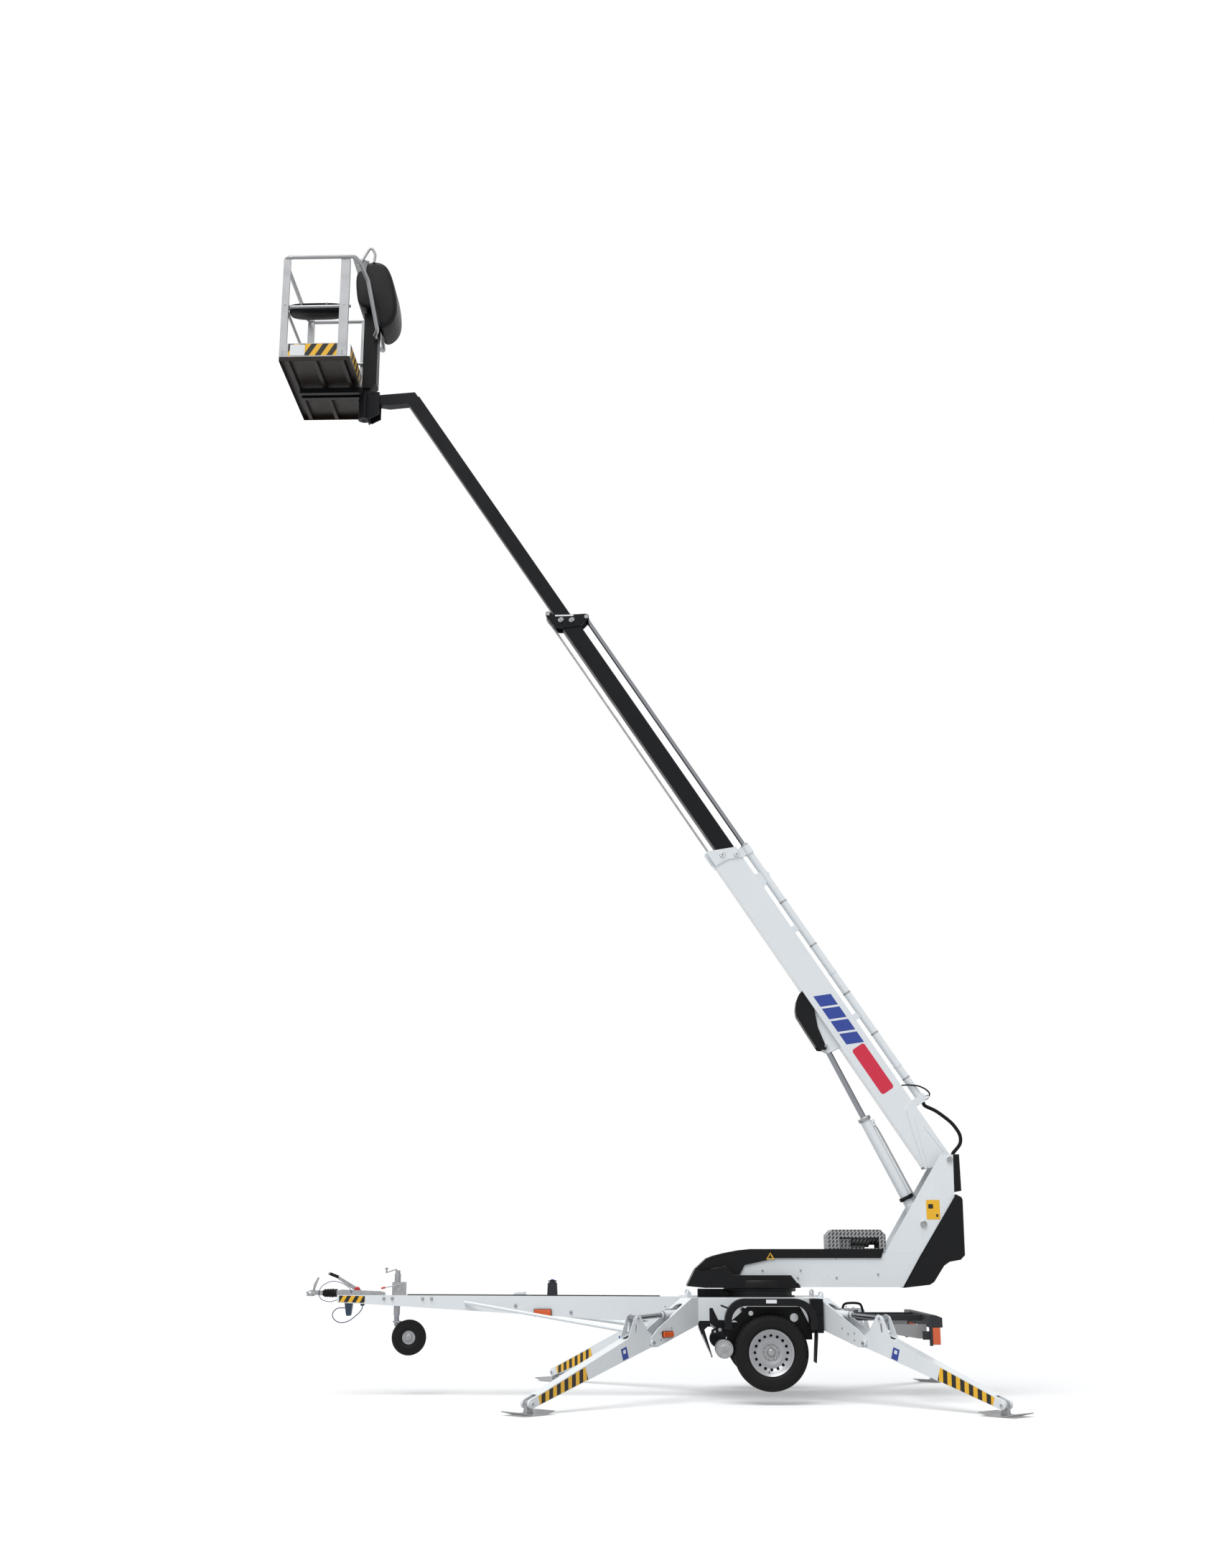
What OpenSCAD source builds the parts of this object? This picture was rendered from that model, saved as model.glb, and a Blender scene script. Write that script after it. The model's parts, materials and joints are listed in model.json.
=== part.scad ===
// Towable boom lift, parked on its four outriggers with the telescopic boom raised and run out.
// Millimetres. X points to the rear of the trailer, Y to its right-hand side, Z up.
// The pads stand on z = 0, and the origin is under the middle of the machine's overall box.

/* [Chassis] */
// Height of the chassis deck above the floor
deck_z = 855; // [820:5:900]
// Depth of the chassis box
chassis_h = 205; // [160:5:240]
// Wall of the welded chassis parts
chassis_wall = 8; // [5:1:12]
// Distance of the outrigger hinges from the chassis middle, along the trailer
hinge_x = 940; // [900:5:1000]
// Distance of the outrigger hinges from the chassis middle, across the trailer
hinge_y = 870; // [840:5:920]
// Height of the outrigger hinges
hinge_z = 500; // [480:5:530]
// Length of a fixed outrigger arm, from the chassis corner to the hinge
arm_len = 580; // [560:5:620]
// Angle of the outriggers from the trailer's long axis, seen from above
spread_angle = 47; // [44:1:50]

/* [Outriggers] */
// Distance from a leg's hinge to its pad's pin
leg_len = 1436; // [1400:4:1480]
// Height of the pad's pin above the floor
pad_pin_z = 85; // [75:5:100]
// Width of a leg box
leg_w = 100; // [90:2:104]
// Plate of a leg box
leg_wall = 6; // [4:1:8]
// Length of a pad
pad_len = 340; // [300:10:380]
// Width of a pad
pad_w = 260; // [220:10:280]
// Hole for the hinge and pad pins
pin_d = 30; // [24:1:34]

/* [Running gear] */
// Outer diameter of a road tyre
tyre_d = 630; // [600:5:640]
// Width of a road tyre
tyre_w = 185; // [165:5:195]
// Diameter of a road wheel's rim
rim_d = 388; // [370:2:400]
// Height of the road wheels' centre, lifted clear of the floor
wheel_z = 420; // [410:5:440]
// Distance between the two tyres' middles
track = 1780; // [1760:10:1800]
// Outer diameter of the jockey wheel
jockey_d = 310; // [280:5:320]

/* [Drawbar] */
// Distance from the slewing axis to the drawbar's front end
drawbar_reach = 3820; // [3700:20:3900]
// Width of the drawbar box
drawbar_w = 200; // [180:5:220]
// Diameter of the tow ball that the coupling takes
ball_d = 50; // [50:0.5:50.5]

/* [Turntable] */
// Outer diameter of the slewing ring
slew_d = 600; // [560:10:620]
// Overall width of the turntable's plates
turret_w = 400; // [380:10:420]
// Plate of the turntable
turret_wall = 12; // [8:1:14]
// Boom pivot, behind the slewing axis
boom_pivot_x = 1735; // [1730:1:1740]
// Boom pivot, above the floor
boom_pivot_z = 2058; // [2054:1:2062]
// Lift cylinder's lower pin, behind the slewing axis
lift_foot_x = 1475; // [1465:1:1485]
// Lift cylinder's lower pin, above the floor
lift_foot_z = 1487; // [1480:1:1495]

/* [Boom] */
// Angle of the boom above level, as it stands
boom_angle = 56.8; // [50:0.2:60]
// Length of the outer boom section
main_len = 3610; // [3600:1:3612]
// Height of the outer boom section
main_h = 260; // [250:2:264]
// Width of the outer boom section
main_w = 190; // [180:2:200]
// Wall of the boom sections
boom_wall = 5; // [4:1:6]
// Distance from the boom pivot to the middle section's head
middle_reach = 6400; // [6300:10:6420]
// Distance from the boom pivot to the elbow
boom_reach = 9220; // [9100:10:9300]
// Barrel diameter of the lift cylinder
lift_barrel_d = 100; // [90:2:110]
// Rod diameter of the lift cylinder
lift_rod_d = 55; // [45:1:60]

/* [Basket] */
// Depth of the basket, from the boom side to the front
basket_l = 720; // [660:10:760]
// Width of the basket
basket_w = 1300; // [1200:10:1400]
// Height of the guard rail over the floor
rail_h = 1130; // [1100:5:1150]
// Diameter of the top rail
rail_d = 42; // [34:1:46]

/* [Hidden] */
$fn = 48;

slip = 0.3;
plate = 8;

chassis_x = -70;
spread_c = cos(spread_angle);
spread_s = sin(spread_angle);
leg_flat = sqrt(leg_len * leg_len - pow(hinge_z - pad_pin_z, 2));
leg_slope = asin((hinge_z - pad_pin_z) / leg_len);
arm_half_w = leg_w / 2 + 16;
arm_end_x = hinge_x - arm_len * spread_c;
arm_end_y = hinge_y - arm_len * spread_s;
chassis_half_l = arm_end_x + arm_half_w * spread_s;
chassis_half_w = arm_end_y + arm_half_w * spread_c;
chassis_bottom = deck_z - chassis_h;

// Outriggers: which way each one points, along and across the trailer
corner_side = [[-1, -1], [-1, 1], [1, -1], [1, 1]];

// Boom directions: along it and square to it, on its upper side
boom_dx = -cos(boom_angle);
boom_dz = sin(boom_angle);
boom_nx = sin(boom_angle);
boom_nz = cos(boom_angle);
boom_mid = -90;
elbow = [boom_reach, 0];
level_pin = [boom_reach + 349, -371];
level_x = boom_pivot_x + level_pin[0] * boom_dx + level_pin[1] * boom_nx;
level_z = boom_pivot_z + level_pin[0] * boom_dz + level_pin[1] * boom_nz;

basket_back = -143;
floor_z = 117;
basket_front_x = level_x + basket_back - basket_l - rail_d / 2;
pad_tip_x = chassis_x + hinge_x + leg_flat * spread_c + pad_len / 2 * spread_c + pad_w / 2 * spread_s;
slew_x = -(basket_front_x + pad_tip_x) / 2;

// Moves parts drawn about the slewing axis to their place over the origin
module at_slew() translate([slew_x, 0, 0]) children();

// Outrigger frame: origin on the hinge, X outward along the leg's plan line, Z up
module at_outrigger(side) {
    translate([slew_x + chassis_x + side[0] * hinge_x, side[1] * hinge_y, hinge_z])
        rotate([0, 0, atan2(side[1] * spread_s, side[0] * spread_c)])
            children();
}

// Boom frame: origin on the boom pivot, X along the boom, Z out of its upper side
module at_boom() {
    translate([slew_x + boom_pivot_x, 0, boom_pivot_z]) rotate([0, -boom_angle, 180]) children();
}

// Basket frame: origin on the levelling pin, X to the rear
module at_basket() translate([slew_x + level_x, 0, level_z]) children();

// Side outline drawn in X and Z, given a thickness across Y and centred there
module side_plate(points, w, y = 0) {
    translate([0, y + w / 2, 0]) rotate([90, 0, 0]) linear_extrude(w) polygon(points);
}

// Round bar or drum lying across Y, centred on y
module cross_bar(d, w, x = 0, z = 0, y = 0) {
    translate([x, y + w / 2, z]) rotate([90, 0, 0]) cylinder(d = d, h = w);
}

module cross_ring(d, bore, w, x = 0, z = 0, y = 0) {
    difference() {
        cross_bar(d, w, x, z, y);
        cross_bar(bore, w + 2, x, z, y);
    }
}

// Point where two lines cross, each given by a point and a direction
function crossing(p, u, q, v) = p + u * (((q[0] - p[0]) * v[1] - (q[1] - p[1]) * v[0]) / (u[0] * v[1] - u[1] * v[0]));
function unit(v) = v / norm(v);
function left_of(v) = [-v[1], v[0]];

// Outline moved inwards by t on every edge; the points run anticlockwise
function inset(p, t) = [for (i = [0:len(p) - 1])
    let (a = p[(i + len(p) - 1) % len(p)], b = p[i], c = p[(i + 1) % len(p)],
         u = unit(b - a), v = unit(c - b))
    crossing(b + left_of(u) * t, u, b + left_of(v) * t, v)];

// Straight round bar between two points
module rod_between(a, b, d) {
    v = b - a;
    translate(a) rotate([0, acos(v[2] / norm(v)), atan2(v[1], v[0])]) cylinder(d = d, h = norm(v));
}

// Rings of a tube swept along a route; ref is a direction that the route never takes
function route_dir(p, i) = unit(p[min(i + 1, len(p) - 1)] - p[max(i - 1, 0)]);
function route_ring(p, i, d, sides, ref) =
    let (t = route_dir(p, i), u = unit(cross(t, ref)), v = cross(t, u))
    [for (k = [0:sides - 1]) p[i] + d / 2 * (cos(360 * k / sides) * u + sin(360 * k / sides) * v)];

module swept_tube(p, d, sides = 8, ref = [0, 1, 0]) {
    n = len(p);
    rings = [for (i = [0:n - 1]) each route_ring(p, i, d, sides, ref)];
    walls = [for (i = [0:n - 2], k = [0:sides - 1])
        [i * sides + k, (i + 1) * sides + k, (i + 1) * sides + (k + 1) % sides, i * sides + (k + 1) % sides]];
    caps = [[for (k = [0:sides - 1]) k], [for (k = [sides - 1:-1:0]) (n - 1) * sides + k]];
    polyhedron(rings, concat(caps, walls));
}

// Tube through a list of corner points, with a round weld bead at each corner
module bent_tube(p, d) {
    for (i = [0:len(p) - 2]) rod_between(p[i], p[i + 1], d);
    for (i = [1:len(p) - 2]) translate(p[i]) sphere(d = d + 2);
}

// Closed welded box: a side outline with a given width and wall
module welded_box(points, w, wall) {
    difference() {
        side_plate(points, w);
        side_plate(inset(points, wall), w - 2 * wall);
    }
}

// Chassis

module chassis_frame() {
    a = [chassis_half_l, chassis_half_w - 2 * arm_half_w * spread_c];
    b = [chassis_half_l - 2 * arm_half_w * spread_s, chassis_half_w];
    outline = [[a[0], -a[1]], [a[0], a[1]], [b[0], b[1]], [-b[0], b[1]],
        [-a[0], a[1]], [-a[0], -a[1]], [-b[0], -b[1]], [b[0], -b[1]]];
    color("white") at_slew() translate([chassis_x, 0, 0]) {
        difference() {
            translate([0, 0, chassis_bottom]) linear_extrude(chassis_h) polygon(outline);
            translate([0, 0, chassis_bottom + chassis_wall])
                linear_extrude(chassis_h - 2 * chassis_wall) polygon(inset(outline, chassis_wall));
        }
    }
}

arm_top = deck_z - hinge_z;
arm_base = chassis_bottom - hinge_z;
arm_outline = [[-arm_len, arm_base - 20], [-60, -38], [0, -38], [28, -10], [28, 30], [-70, 112],
    [-arm_len + 80, arm_top], [-arm_len, arm_top]];
arm_plate = 10;
arm_slot_w = 76;

// Fixed arm of one outrigger: two cheeks, closed above and below, slotted where the cylinder comes out
module outrigger_arm() {
    difference() {
        side_plate(arm_outline, 2 * arm_half_w);
        side_plate([[-arm_len + plate, arm_base - 13], [-70, -30], [-70, -60], [60, -60], [60, 260], [-240, 260],
            [-240, 200], [-arm_len + 76, arm_top - plate], [-arm_len + plate, arm_top - plate]],
            2 * (arm_half_w - arm_plate));
        translate([-arm_len + 190, 0, 0]) cylinder(d = arm_slot_w, h = arm_top + 10);
        translate([-arm_len + 190, -arm_slot_w / 2, 0]) cube([arm_len, arm_slot_w, arm_top + 10]);
    }
    cross_bar(pin_d, 2 * arm_half_w + 24, 0, 0);
    for (y = [-1, 1]) cross_bar(pin_d + 18, 8, 0, 0, y * (arm_half_w + 4));
    cross_bar(25, 2 * arm_half_w - 2 * arm_plate, leg_base[0], leg_base[1]);
    translate([-arm_len + 48, 0, arm_top]) difference() {
        union() {
            cross_bar(56, 14, 0, 26);
            translate([-28, -7, 0]) cube([56, 14, 26]);
        }
        cross_bar(30, 16, 0, 28);
    }
}

module outrigger_arms() {
    color("white") for (side = corner_side) at_outrigger(side) outrigger_arm();
}

drawbar_rear_x = chassis_x - chassis_half_l;
drawbar_nose_rise = 12;
function drawbar_top(x) = deck_z + drawbar_nose_rise * (drawbar_rear_x - x) / (drawbar_rear_x + drawbar_reach);
function drawbar_under(x) = 800 - (x + drawbar_reach) * 10 / (drawbar_reach - 3565);
drawbar_outline = [[-drawbar_reach, 800], [-3565, 790], [-1260, chassis_bottom], [drawbar_rear_x, chassis_bottom],
    [drawbar_rear_x, deck_z], [-drawbar_reach, deck_z + drawbar_nose_rise]];
jockey_x = -3287;
jockey_tube_d = 57;

brace_d = 30;

// Tapered drawbar box, with the stay tube on each side that runs back to the front arm
module drawbar() {
    color("white") at_slew() difference() {
        welded_box(drawbar_outline, drawbar_w, 6);
        translate([jockey_x, 0, 600]) cylinder(d = jockey_tube_d + 3, h = 400);
    }
    color("white") at_slew() for (s = [-1, 1]) {
        arm_point = [chassis_x - hinge_x + 60 * spread_c - (arm_half_w + 15) * spread_s,
            s * (hinge_y - 60 * spread_s - (arm_half_w + 15) * spread_c), hinge_z + 60];
        rod_between([-2660, s * (drawbar_w / 2 + 15.3), 806], arm_point, brace_d);
    }
}

coupler_z = 882;
coupler_x = -4080;

module coupling_head() {
    color("silver") at_slew() {
        difference() {
            union() {
                translate([coupler_x, 0, coupler_z - 12]) sphere(d = ball_d + 22);
                translate([coupler_x, 0, coupler_z - 26]) cylinder(d = ball_d + 22, h = 16);
                side_plate([[coupler_x, 868], [-3966, 862], [-3966, 902], [coupler_x, 908]], 54);
                translate([coupler_x - 40, -9, coupler_z]) rotate([0, -20, 0]) cube([46, 18, 7]);
            }
            translate([coupler_x, 0, coupler_z - 60]) cylinder(d = ball_d + 40, h = 34);
            translate([coupler_x, 0, coupler_z - 27]) cylinder(d = ball_d + 0.4, h = 24);
            translate([coupler_x, 0, coupler_z - 3]) sphere(d = ball_d + 0.4);
        }
        side_plate([[-4062, 905], [-4042, 905], [-4030, 950], [-4004, 1015], [-4018, 1020], [-4050, 962]], 16);
    }
}

module coupling_bellows() {
    color("black") at_slew() translate([-3965.7, 0, coupler_z]) rotate([0, 90, 0])
        rotate_extrude() polygon([[0, 0], [24, 0], [37, 22], [31, 32], [38, 44], [32, 55], [39, 67],
            [33, 78], [40, 90], [34, 100], [36, 129.4], [0, 129.4]]);
}

// Overrun housing on the drawbar's nose with its parking brake lever
module brake_lever() {
    color("silver") at_slew() {
        difference() {
            side_plate([[-3836, 868], [-3400, deck_z + 11], [-3400, 888], [-3440, 898], [-3790, 912], [-3836, 906]], 66);
            side_plate([[-3850, 700], [-3300, 700], [-3300, deck_z + 10.5], [-drawbar_reach, deck_z + 12.3], [-3850, deck_z + 12.3]], 80);
        }
        side_plate([[-3680, 900], [-3610, 900], [-3852, 1040], [-3866, 1020]], 10, 42);
        cross_bar(22, 24, -3650, 898, 38);
    }
    color("black") at_slew() rod_between([-3850, 42, 1026], [-3930, 42, 1056], 26);
}

module plug_holder() {
    color("darkslategray") at_slew() {
        side_plate([[-3762, drawbar_under(-3762) - slip], [-3748, 705], [-3742, 684], [-3706, 684], [-3700, 705],
            [-3690, drawbar_under(-3690) - slip]], 60);
        side_plate([[-3622, drawbar_under(-3622) - slip], [-3614, 770], [-3590, 770], [-3578, drawbar_under(-3578) - slip]], 40);
    }
}

// Points on a smooth curve through the route, in equal steps between neighbours
function smooth_point(a, b, c, d, t) =
    0.5 * ((2 * b) + (c - a) * t + (2 * a - 5 * b + 4 * c - d) * t * t + (3 * b - a - 3 * c + d) * t * t * t);
function smooth_route(p, steps) = [for (i = [0:len(p) - 2], k = [0:steps - 1])
    smooth_point(p[max(i - 1, 0)], p[i], p[i + 1], p[min(i + 2, len(p) - 1)], k / steps), p[len(p) - 1]];

plug_cable_route = [[-3602, 0, 769.7], [-3602, 0, 766], [-3602, 0, 760], [-3608, -6, 738], [-3640, -10, 700], [-3720, -12, 640], [-3800, -12, 625],
    [-3860, -10, 660], [-3868, -6, 710], [-3830, -3, 748], [-3775, 0, 752], [-3765, 0, 752], [-3756.3, 0, 752]];
breakaway_route = [[-3700, -33.3, 888], [-3700, -35, 888], [-3700, -40, 888], [-3722, -46, 930], [-3790, -50, 970], [-3880, -46, 985], [-3960, -40, 950],
    [-3998, -34, 890], [-3975, -30, 830], [-3900, -20, 806], [-3845, -6, 820], [-3830, 0, 824], [-3820.3, 0, 824]];

// Trailer's electric cable, parked in its holder
module plug_cable() {
    color("midnightblue") at_slew() swept_tube(smooth_route(plug_cable_route, 4), 8);
}

// Breakaway cable of the parking brake
module breakaway_cable() {
    color("midnightblue") at_slew() swept_tube(smooth_route(breakaway_route, 4), 6, 8, [1, 1, 0]);
}

// Clamp of the jockey leg, its outer tube and the crank on top
module jockey_clamp() {
    color("silver") at_slew() {
        difference() {
            union() {
                translate([jockey_x, 0, 690]) cylinder(d = jockey_tube_d, h = 360);
                side_plate([[jockey_x - 42, drawbar_top(jockey_x - 42) + slip], [jockey_x + 76, drawbar_top(jockey_x + 76) + slip],
                    [jockey_x + 76, 979], [jockey_x - 42, 979]], 90);
            }
            translate([jockey_x, 0, 689]) cylinder(d = jockey_tube_d - 9, h = 330);
        }
        translate([jockey_x, 0, 1050]) cylinder(d = 44, h = 30);
        side_plate([[jockey_x - 8, 1078], [jockey_x + 8, 1078], [jockey_x - 20, 1094], [jockey_x - 110, 1064],
            [jockey_x - 110, 1054], [jockey_x - 22, 1082]], 14);
        translate([jockey_x - 104, 0, 1058]) cylinder(d = 16, h = 34);
        translate([jockey_x - 104, 0, 1092]) cylinder(d = 30, h = 12);
    }
}

strip_ends = [-3190, -900];
rest_x = -1875;

// Dark strip along the drawbar's top, with the post that carries the lowered boom
module boom_rest() {
    color("dimgray") at_slew() {
        side_plate([[strip_ends[0], drawbar_top(strip_ends[0]) + slip], [strip_ends[1], drawbar_top(strip_ends[1]) + slip],
            [strip_ends[1], drawbar_top(strip_ends[1]) + plate], [strip_ends[0], drawbar_top(strip_ends[0]) + plate]], 110);
        side_plate([[rest_x - 45, drawbar_top(rest_x) + 4], [rest_x + 45, drawbar_top(rest_x) + 4], [rest_x + 40, 970],
            [rest_x + 20, 985], [rest_x - 20, 985], [rest_x - 40, 970]], 110);
    }
}

axle_z = 500;
wheel_x = 40;
hub_d = 40;

// Rubber torsion axle: square tube, swing arms and stub axles
module axle() {
    color("dimgray") at_slew() {
        translate([-150, -track / 2 + 175, axle_z - 40]) cube([80, track - 350, 80]);
        for (s = [-1, 1]) {
            translate([-150, s * 420 - 40, axle_z + 40]) cube([80, 80, chassis_bottom - axle_z - 40]);
            side_plate([[-150, axle_z - 40], [0, wheel_z - 34], [74, wheel_z - 30], [74, wheel_z + 34],
                [-70, axle_z + 40], [-150, axle_z + 40]], 24, s * (track / 2 - 163));
            cross_bar(hub_d, 110, wheel_x, wheel_z, s * (track / 2 - 96));
        }
    }
}

fender_x0 = -350;
fender_x1 = 430;
fender_top = 859;
fender_r = 180;

// Plate inside the wheel that carries the mudguard and the drive unit, with its holes as x, z, diameter
wheel_plate = [[-330, 640], [-330, 500], [-290, 470], [-170, 470], [-60, 590], [180, 590], [330, 520],
    [400, 520], [400, 600], [330, 740], [300, 790], [-150, 790], [-230, 720]];
wheel_plate_holes = [[-265, 640, 70], [-120, 735, 40], [250, 700, 70]];

// Side view of a mudguard, drawn smaller on every side by t
module fender_shape(t) {
    x0 = fender_x0 + t;
    x1 = fender_x1 - t;
    r = fender_r - t;
    for (x = [x0 + r, x1 - r]) translate([x, fender_top - t - r]) circle(r);
    translate([x0 + r, fender_top - t - r]) square([x1 - x0 - 2 * r, r]);
    translate([x0, 560]) square([x1 - x0, fender_top - t - r - 560]);
}

module mudguards() {
    color("black") at_slew() for (s = [-1, 1]) {
        y = s * (track / 2 + 5);
        difference() {
            translate([0, y + 115, 0]) rotate([90, 0, 0]) linear_extrude(230) fender_shape(0);
            translate([0, y + 111, 0]) rotate([90, 0, 0]) linear_extrude(222) fender_shape(4);
            translate([0, y + 120, 0]) rotate([90, 0, 0]) linear_extrude(240) fender_shape(58);
            translate([-400, y - 130, 480]) cube([900, 260, 130]);
        }
        side_plate([[fender_x1 - 4, 612], [fender_x1, 612], [fender_x1 + 2, 560], [414, 343], [404, 343], [fender_x1 - 12, 560]],
            230, y);
        difference() {
            side_plate(wheel_plate, 8, s * (track / 2 - 114));
            for (hole = wheel_plate_holes) cross_bar(hole[2], 20, hole[0], hole[1], s * (track / 2 - 114));
        }
        for (x = [-180, 300])
            cross_bar(36, track / 2 - 118 - chassis_half_w, x, 760, s * (track / 2 - 118 + chassis_half_w) / 2);
    }
}

drum_x = -358;
drum_z = 452;
drum_d = 156;

// Friction drive in front of each wheel: drum, swinging bracket and lever; and their valve block by the rear left arm
module drive_units() {
    for (s = [-1, 1]) {
        y = s * track / 2;
        color("silver") at_slew() {
            difference() {
                cross_bar(drum_d, 150, drum_x, drum_z, y);
                cross_ring(drum_d - 30, 70, 20, drum_x, drum_z, y + s * 75);
            }
            side_plate([[-462, 560], [-400, 560], [-340, 430], [-318, 470], [-372, 625], [-410, 625], [-462, 600]],
                10, y - s * 80);
            cross_bar(60, 42, -385, 610, y - s * 105);
        }
        color("black") at_slew() {
            side_plate([[-475, 640], [-430, 600], [-300, 580], [-300, 675], [-400, 680], [-448, 780], [-475, 775]],
                12, y - s * 132);
            side_plate([[-566, 672], [-540, 560], [-462, 370], [-452, 376], [-520, 600], [-470, 640], [-470, 672]], 8, y - s * 132);
            cross_bar(22, 8, -316, 600, y - s * 122);
        }
    }
    v = -chassis_half_w - slip;
    color("black") at_slew() {
        translate([0, 0, 566]) linear_extrude(284) polygon([[405, v], [405, v - 125], [516, v - 125], [516, v - 110], [414, v]]);
        cross_bar(90, 20, 460, 770, v - 130);
    }
}

bar_x = 1400;

// Lamp bar behind the rear legs, on two arms from the chassis
module light_bar() {
    color("dimgray") at_slew() {
        for (s = [-1, 1]) translate([chassis_x + chassis_half_l, s * 300 - 20, 660]) cube([bar_x - chassis_x - chassis_half_l, 40, 50]);
        difference() {
            side_plate([[bar_x, 620], [bar_x + 110, 620], [bar_x + 110, 700], [bar_x + 60, 720], [bar_x, 720]], 1600);
            side_plate([[bar_x + 6, 600], [bar_x + 104, 600], [bar_x + 104, 696], [bar_x + 58, 714], [bar_x + 6, 714]], 1588);
        }
        for (s = [-1, 1]) {
            translate([bar_x, s * 780 - 20, 470]) cube([24, 40, 150]);
            translate([bar_x - 60, s * 780 - 4, 520]) cube([60, 8, 70]);
        }
    }
}

// Side lamps and rear lamps: x, y, z, length, width, height
lamp_table = [[-2030, -drawbar_w / 2 - 24, 686, 150, 24, 58], [-2030, drawbar_w / 2, 686, 150, 24, 58],
    [1424, -800, 480, 66, 120, 140], [1424, 680, 480, 66, 120, 140]];

module lamps() {
    color("darkorange") {
        at_slew() for (l = lamp_table) translate([l[0], l[1], l[2]]) cube([l[3], l[4], l[5]]);
        for (i = [0, 1]) at_outrigger(corner_side[i])
            translate([-240, corner_side[i][1] * corner_side[i][0] * (arm_half_w + 12) - 12, 40]) cube([120, 24, 44]);
    }
}

slew_bore = 400;
module slew_ring() {
    color("dimgray") at_slew() {
        difference() {
            union() {
                translate([0, 0, deck_z]) cylinder(d = slew_d + 30, h = 10, $fn = 96);
                translate([0, 0, deck_z + 10]) cylinder(d = slew_d - 20, h = 35, $fn = 96);
                translate([-560, -90, deck_z]) cube([240, 180, 66]);
                translate([-330, -90, deck_z]) cube([130, 180, 45]);
            }
            translate([0, 0, deck_z - 1]) cylinder(d = slew_bore, h = 90);
        }
    }
}

// Running wheels

module tyre(d, rim, w) {
    rotate([90, 0, 0]) rotate_extrude($fn = 72)
        difference() {
            polygon([[rim / 2, -w / 2 + 22], [rim / 2 + 16, -w / 2 + 4], [rim / 2 + 50, -w / 2], [d / 2 - 26, -w / 2 + 10],
                [d / 2 - 5, -w / 2 + 26], [d / 2, -w / 4], [d / 2, w / 4], [d / 2 - 5, w / 2 - 26],
                [d / 2 - 26, w / 2 - 10], [rim / 2 + 50, w / 2], [rim / 2 + 16, w / 2 - 4], [rim / 2, w / 2 - 22]]);
            for (z = [-w / 5, 0, w / 5]) translate([d / 2 - 7, z - 4]) square([10, 8]);
        }
}

module rim(d, w, outer) {
    rotate([90 * outer, 0, 0]) difference() {
        rotate_extrude($fn = 72) polygon([[hub_d / 2 + slip, -12], [62, -12], [70, 18], [96, 26], [130, 22], [150, 34],
            [d / 2 - 22, 44], [d / 2 - 22, w / 2 - 24], [d / 2 - 4, w / 2 - 14], [d / 2 - slip, w / 2 - 26], [d / 2 - slip, -w / 2 + 26],
            [d / 2 - 4, -w / 2 + 14], [d / 2 - 26, -w / 2 + 24], [d / 2 - 34, 0], [d / 2 - 40, 20], [150, 20], [128, 8],
            [96, 12], [80, 8], [66, -24], [hub_d / 2 + slip, -24]]);
        for (k = [0:15]) rotate([0, 0, k * 22.5]) translate([138, 0, -40]) cylinder(d = 26, h = 100);
    }
}

module road_tyre(s) color("black") translate([slew_x + wheel_x, s * track / 2, wheel_z]) tyre(tyre_d, rim_d, tyre_w);
module road_rim(s) color("silver") translate([slew_x + wheel_x, s * track / 2, wheel_z]) rim(rim_d, tyre_w, -s);
module tyre_left() road_tyre(-1);
module tyre_right() road_tyre(1);
module rim_left() road_rim(-1);
module rim_right() road_rim(1);

jockey_trail = 117;
jockey_w = 80;
jockey_wheel_z = 497;

jockey_crown_z = 640;

// Inner tube of the jockey leg
module jockey_tube() {
    color("silver") translate([slew_x + jockey_x, 0, jockey_crown_z + slip]) cylinder(d = jockey_tube_d - 10, h = 330);
}

// Swivelling crown of the jockey leg, with the arm and axle beside the wheel
module jockey_fork() {
    color("silver") translate([slew_x + jockey_x, 0, 0]) {
        translate([-30, -30, jockey_crown_z - 12]) cube([60, jockey_w / 2 + 54, 12]);
        side_plate([[-30, jockey_crown_z], [-30, 600], [jockey_trail - 20, jockey_wheel_z - 20],
            [jockey_trail + 20, jockey_wheel_z - 20], [jockey_trail + 20, jockey_wheel_z + 20], [30, jockey_crown_z]],
            8, jockey_w / 2 + 20);
        cross_bar(16, jockey_w + 26, jockey_trail, jockey_wheel_z, 10);
    }
}

module jockey_wheel() {
    color("black") translate([slew_x + jockey_x + jockey_trail, 0, jockey_wheel_z]) difference() {
        rotate([90, 0, 0]) rotate_extrude($fn = 60) polygon([[9, -32], [26, -32], [30, -14], [58, -14], [64, -34],
            [90, -jockey_w / 2], [jockey_d / 2 - 16, -34], [jockey_d / 2, -16], [jockey_d / 2, 16], [jockey_d / 2 - 16, 34],
            [90, jockey_w / 2], [64, 34], [58, 14], [30, 14], [26, 32], [9, 32]]);
    }
}

// Outrigger legs

leg_ear = [105, 241];
leg_base = [-545, 240];
leg_ear_x = leg_ear[0] * cos(leg_slope) + leg_ear[1] * sin(leg_slope);
leg_ear_z = -leg_ear[0] * sin(leg_slope) + leg_ear[1] * cos(leg_slope);
ram_v = [leg_ear_x - leg_base[0], leg_ear_z - leg_base[1]];
ram_len = norm(ram_v);
ram_angle = atan2(ram_v[1], ram_v[0]);
ram_barrel = 370;

leg_outline = [[-14, -36], [leg_len, -36], [leg_len, 36], [leg_len - 40, 38], [270, 118], [30, 122], [-20, 60], [-36, 0]];

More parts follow.
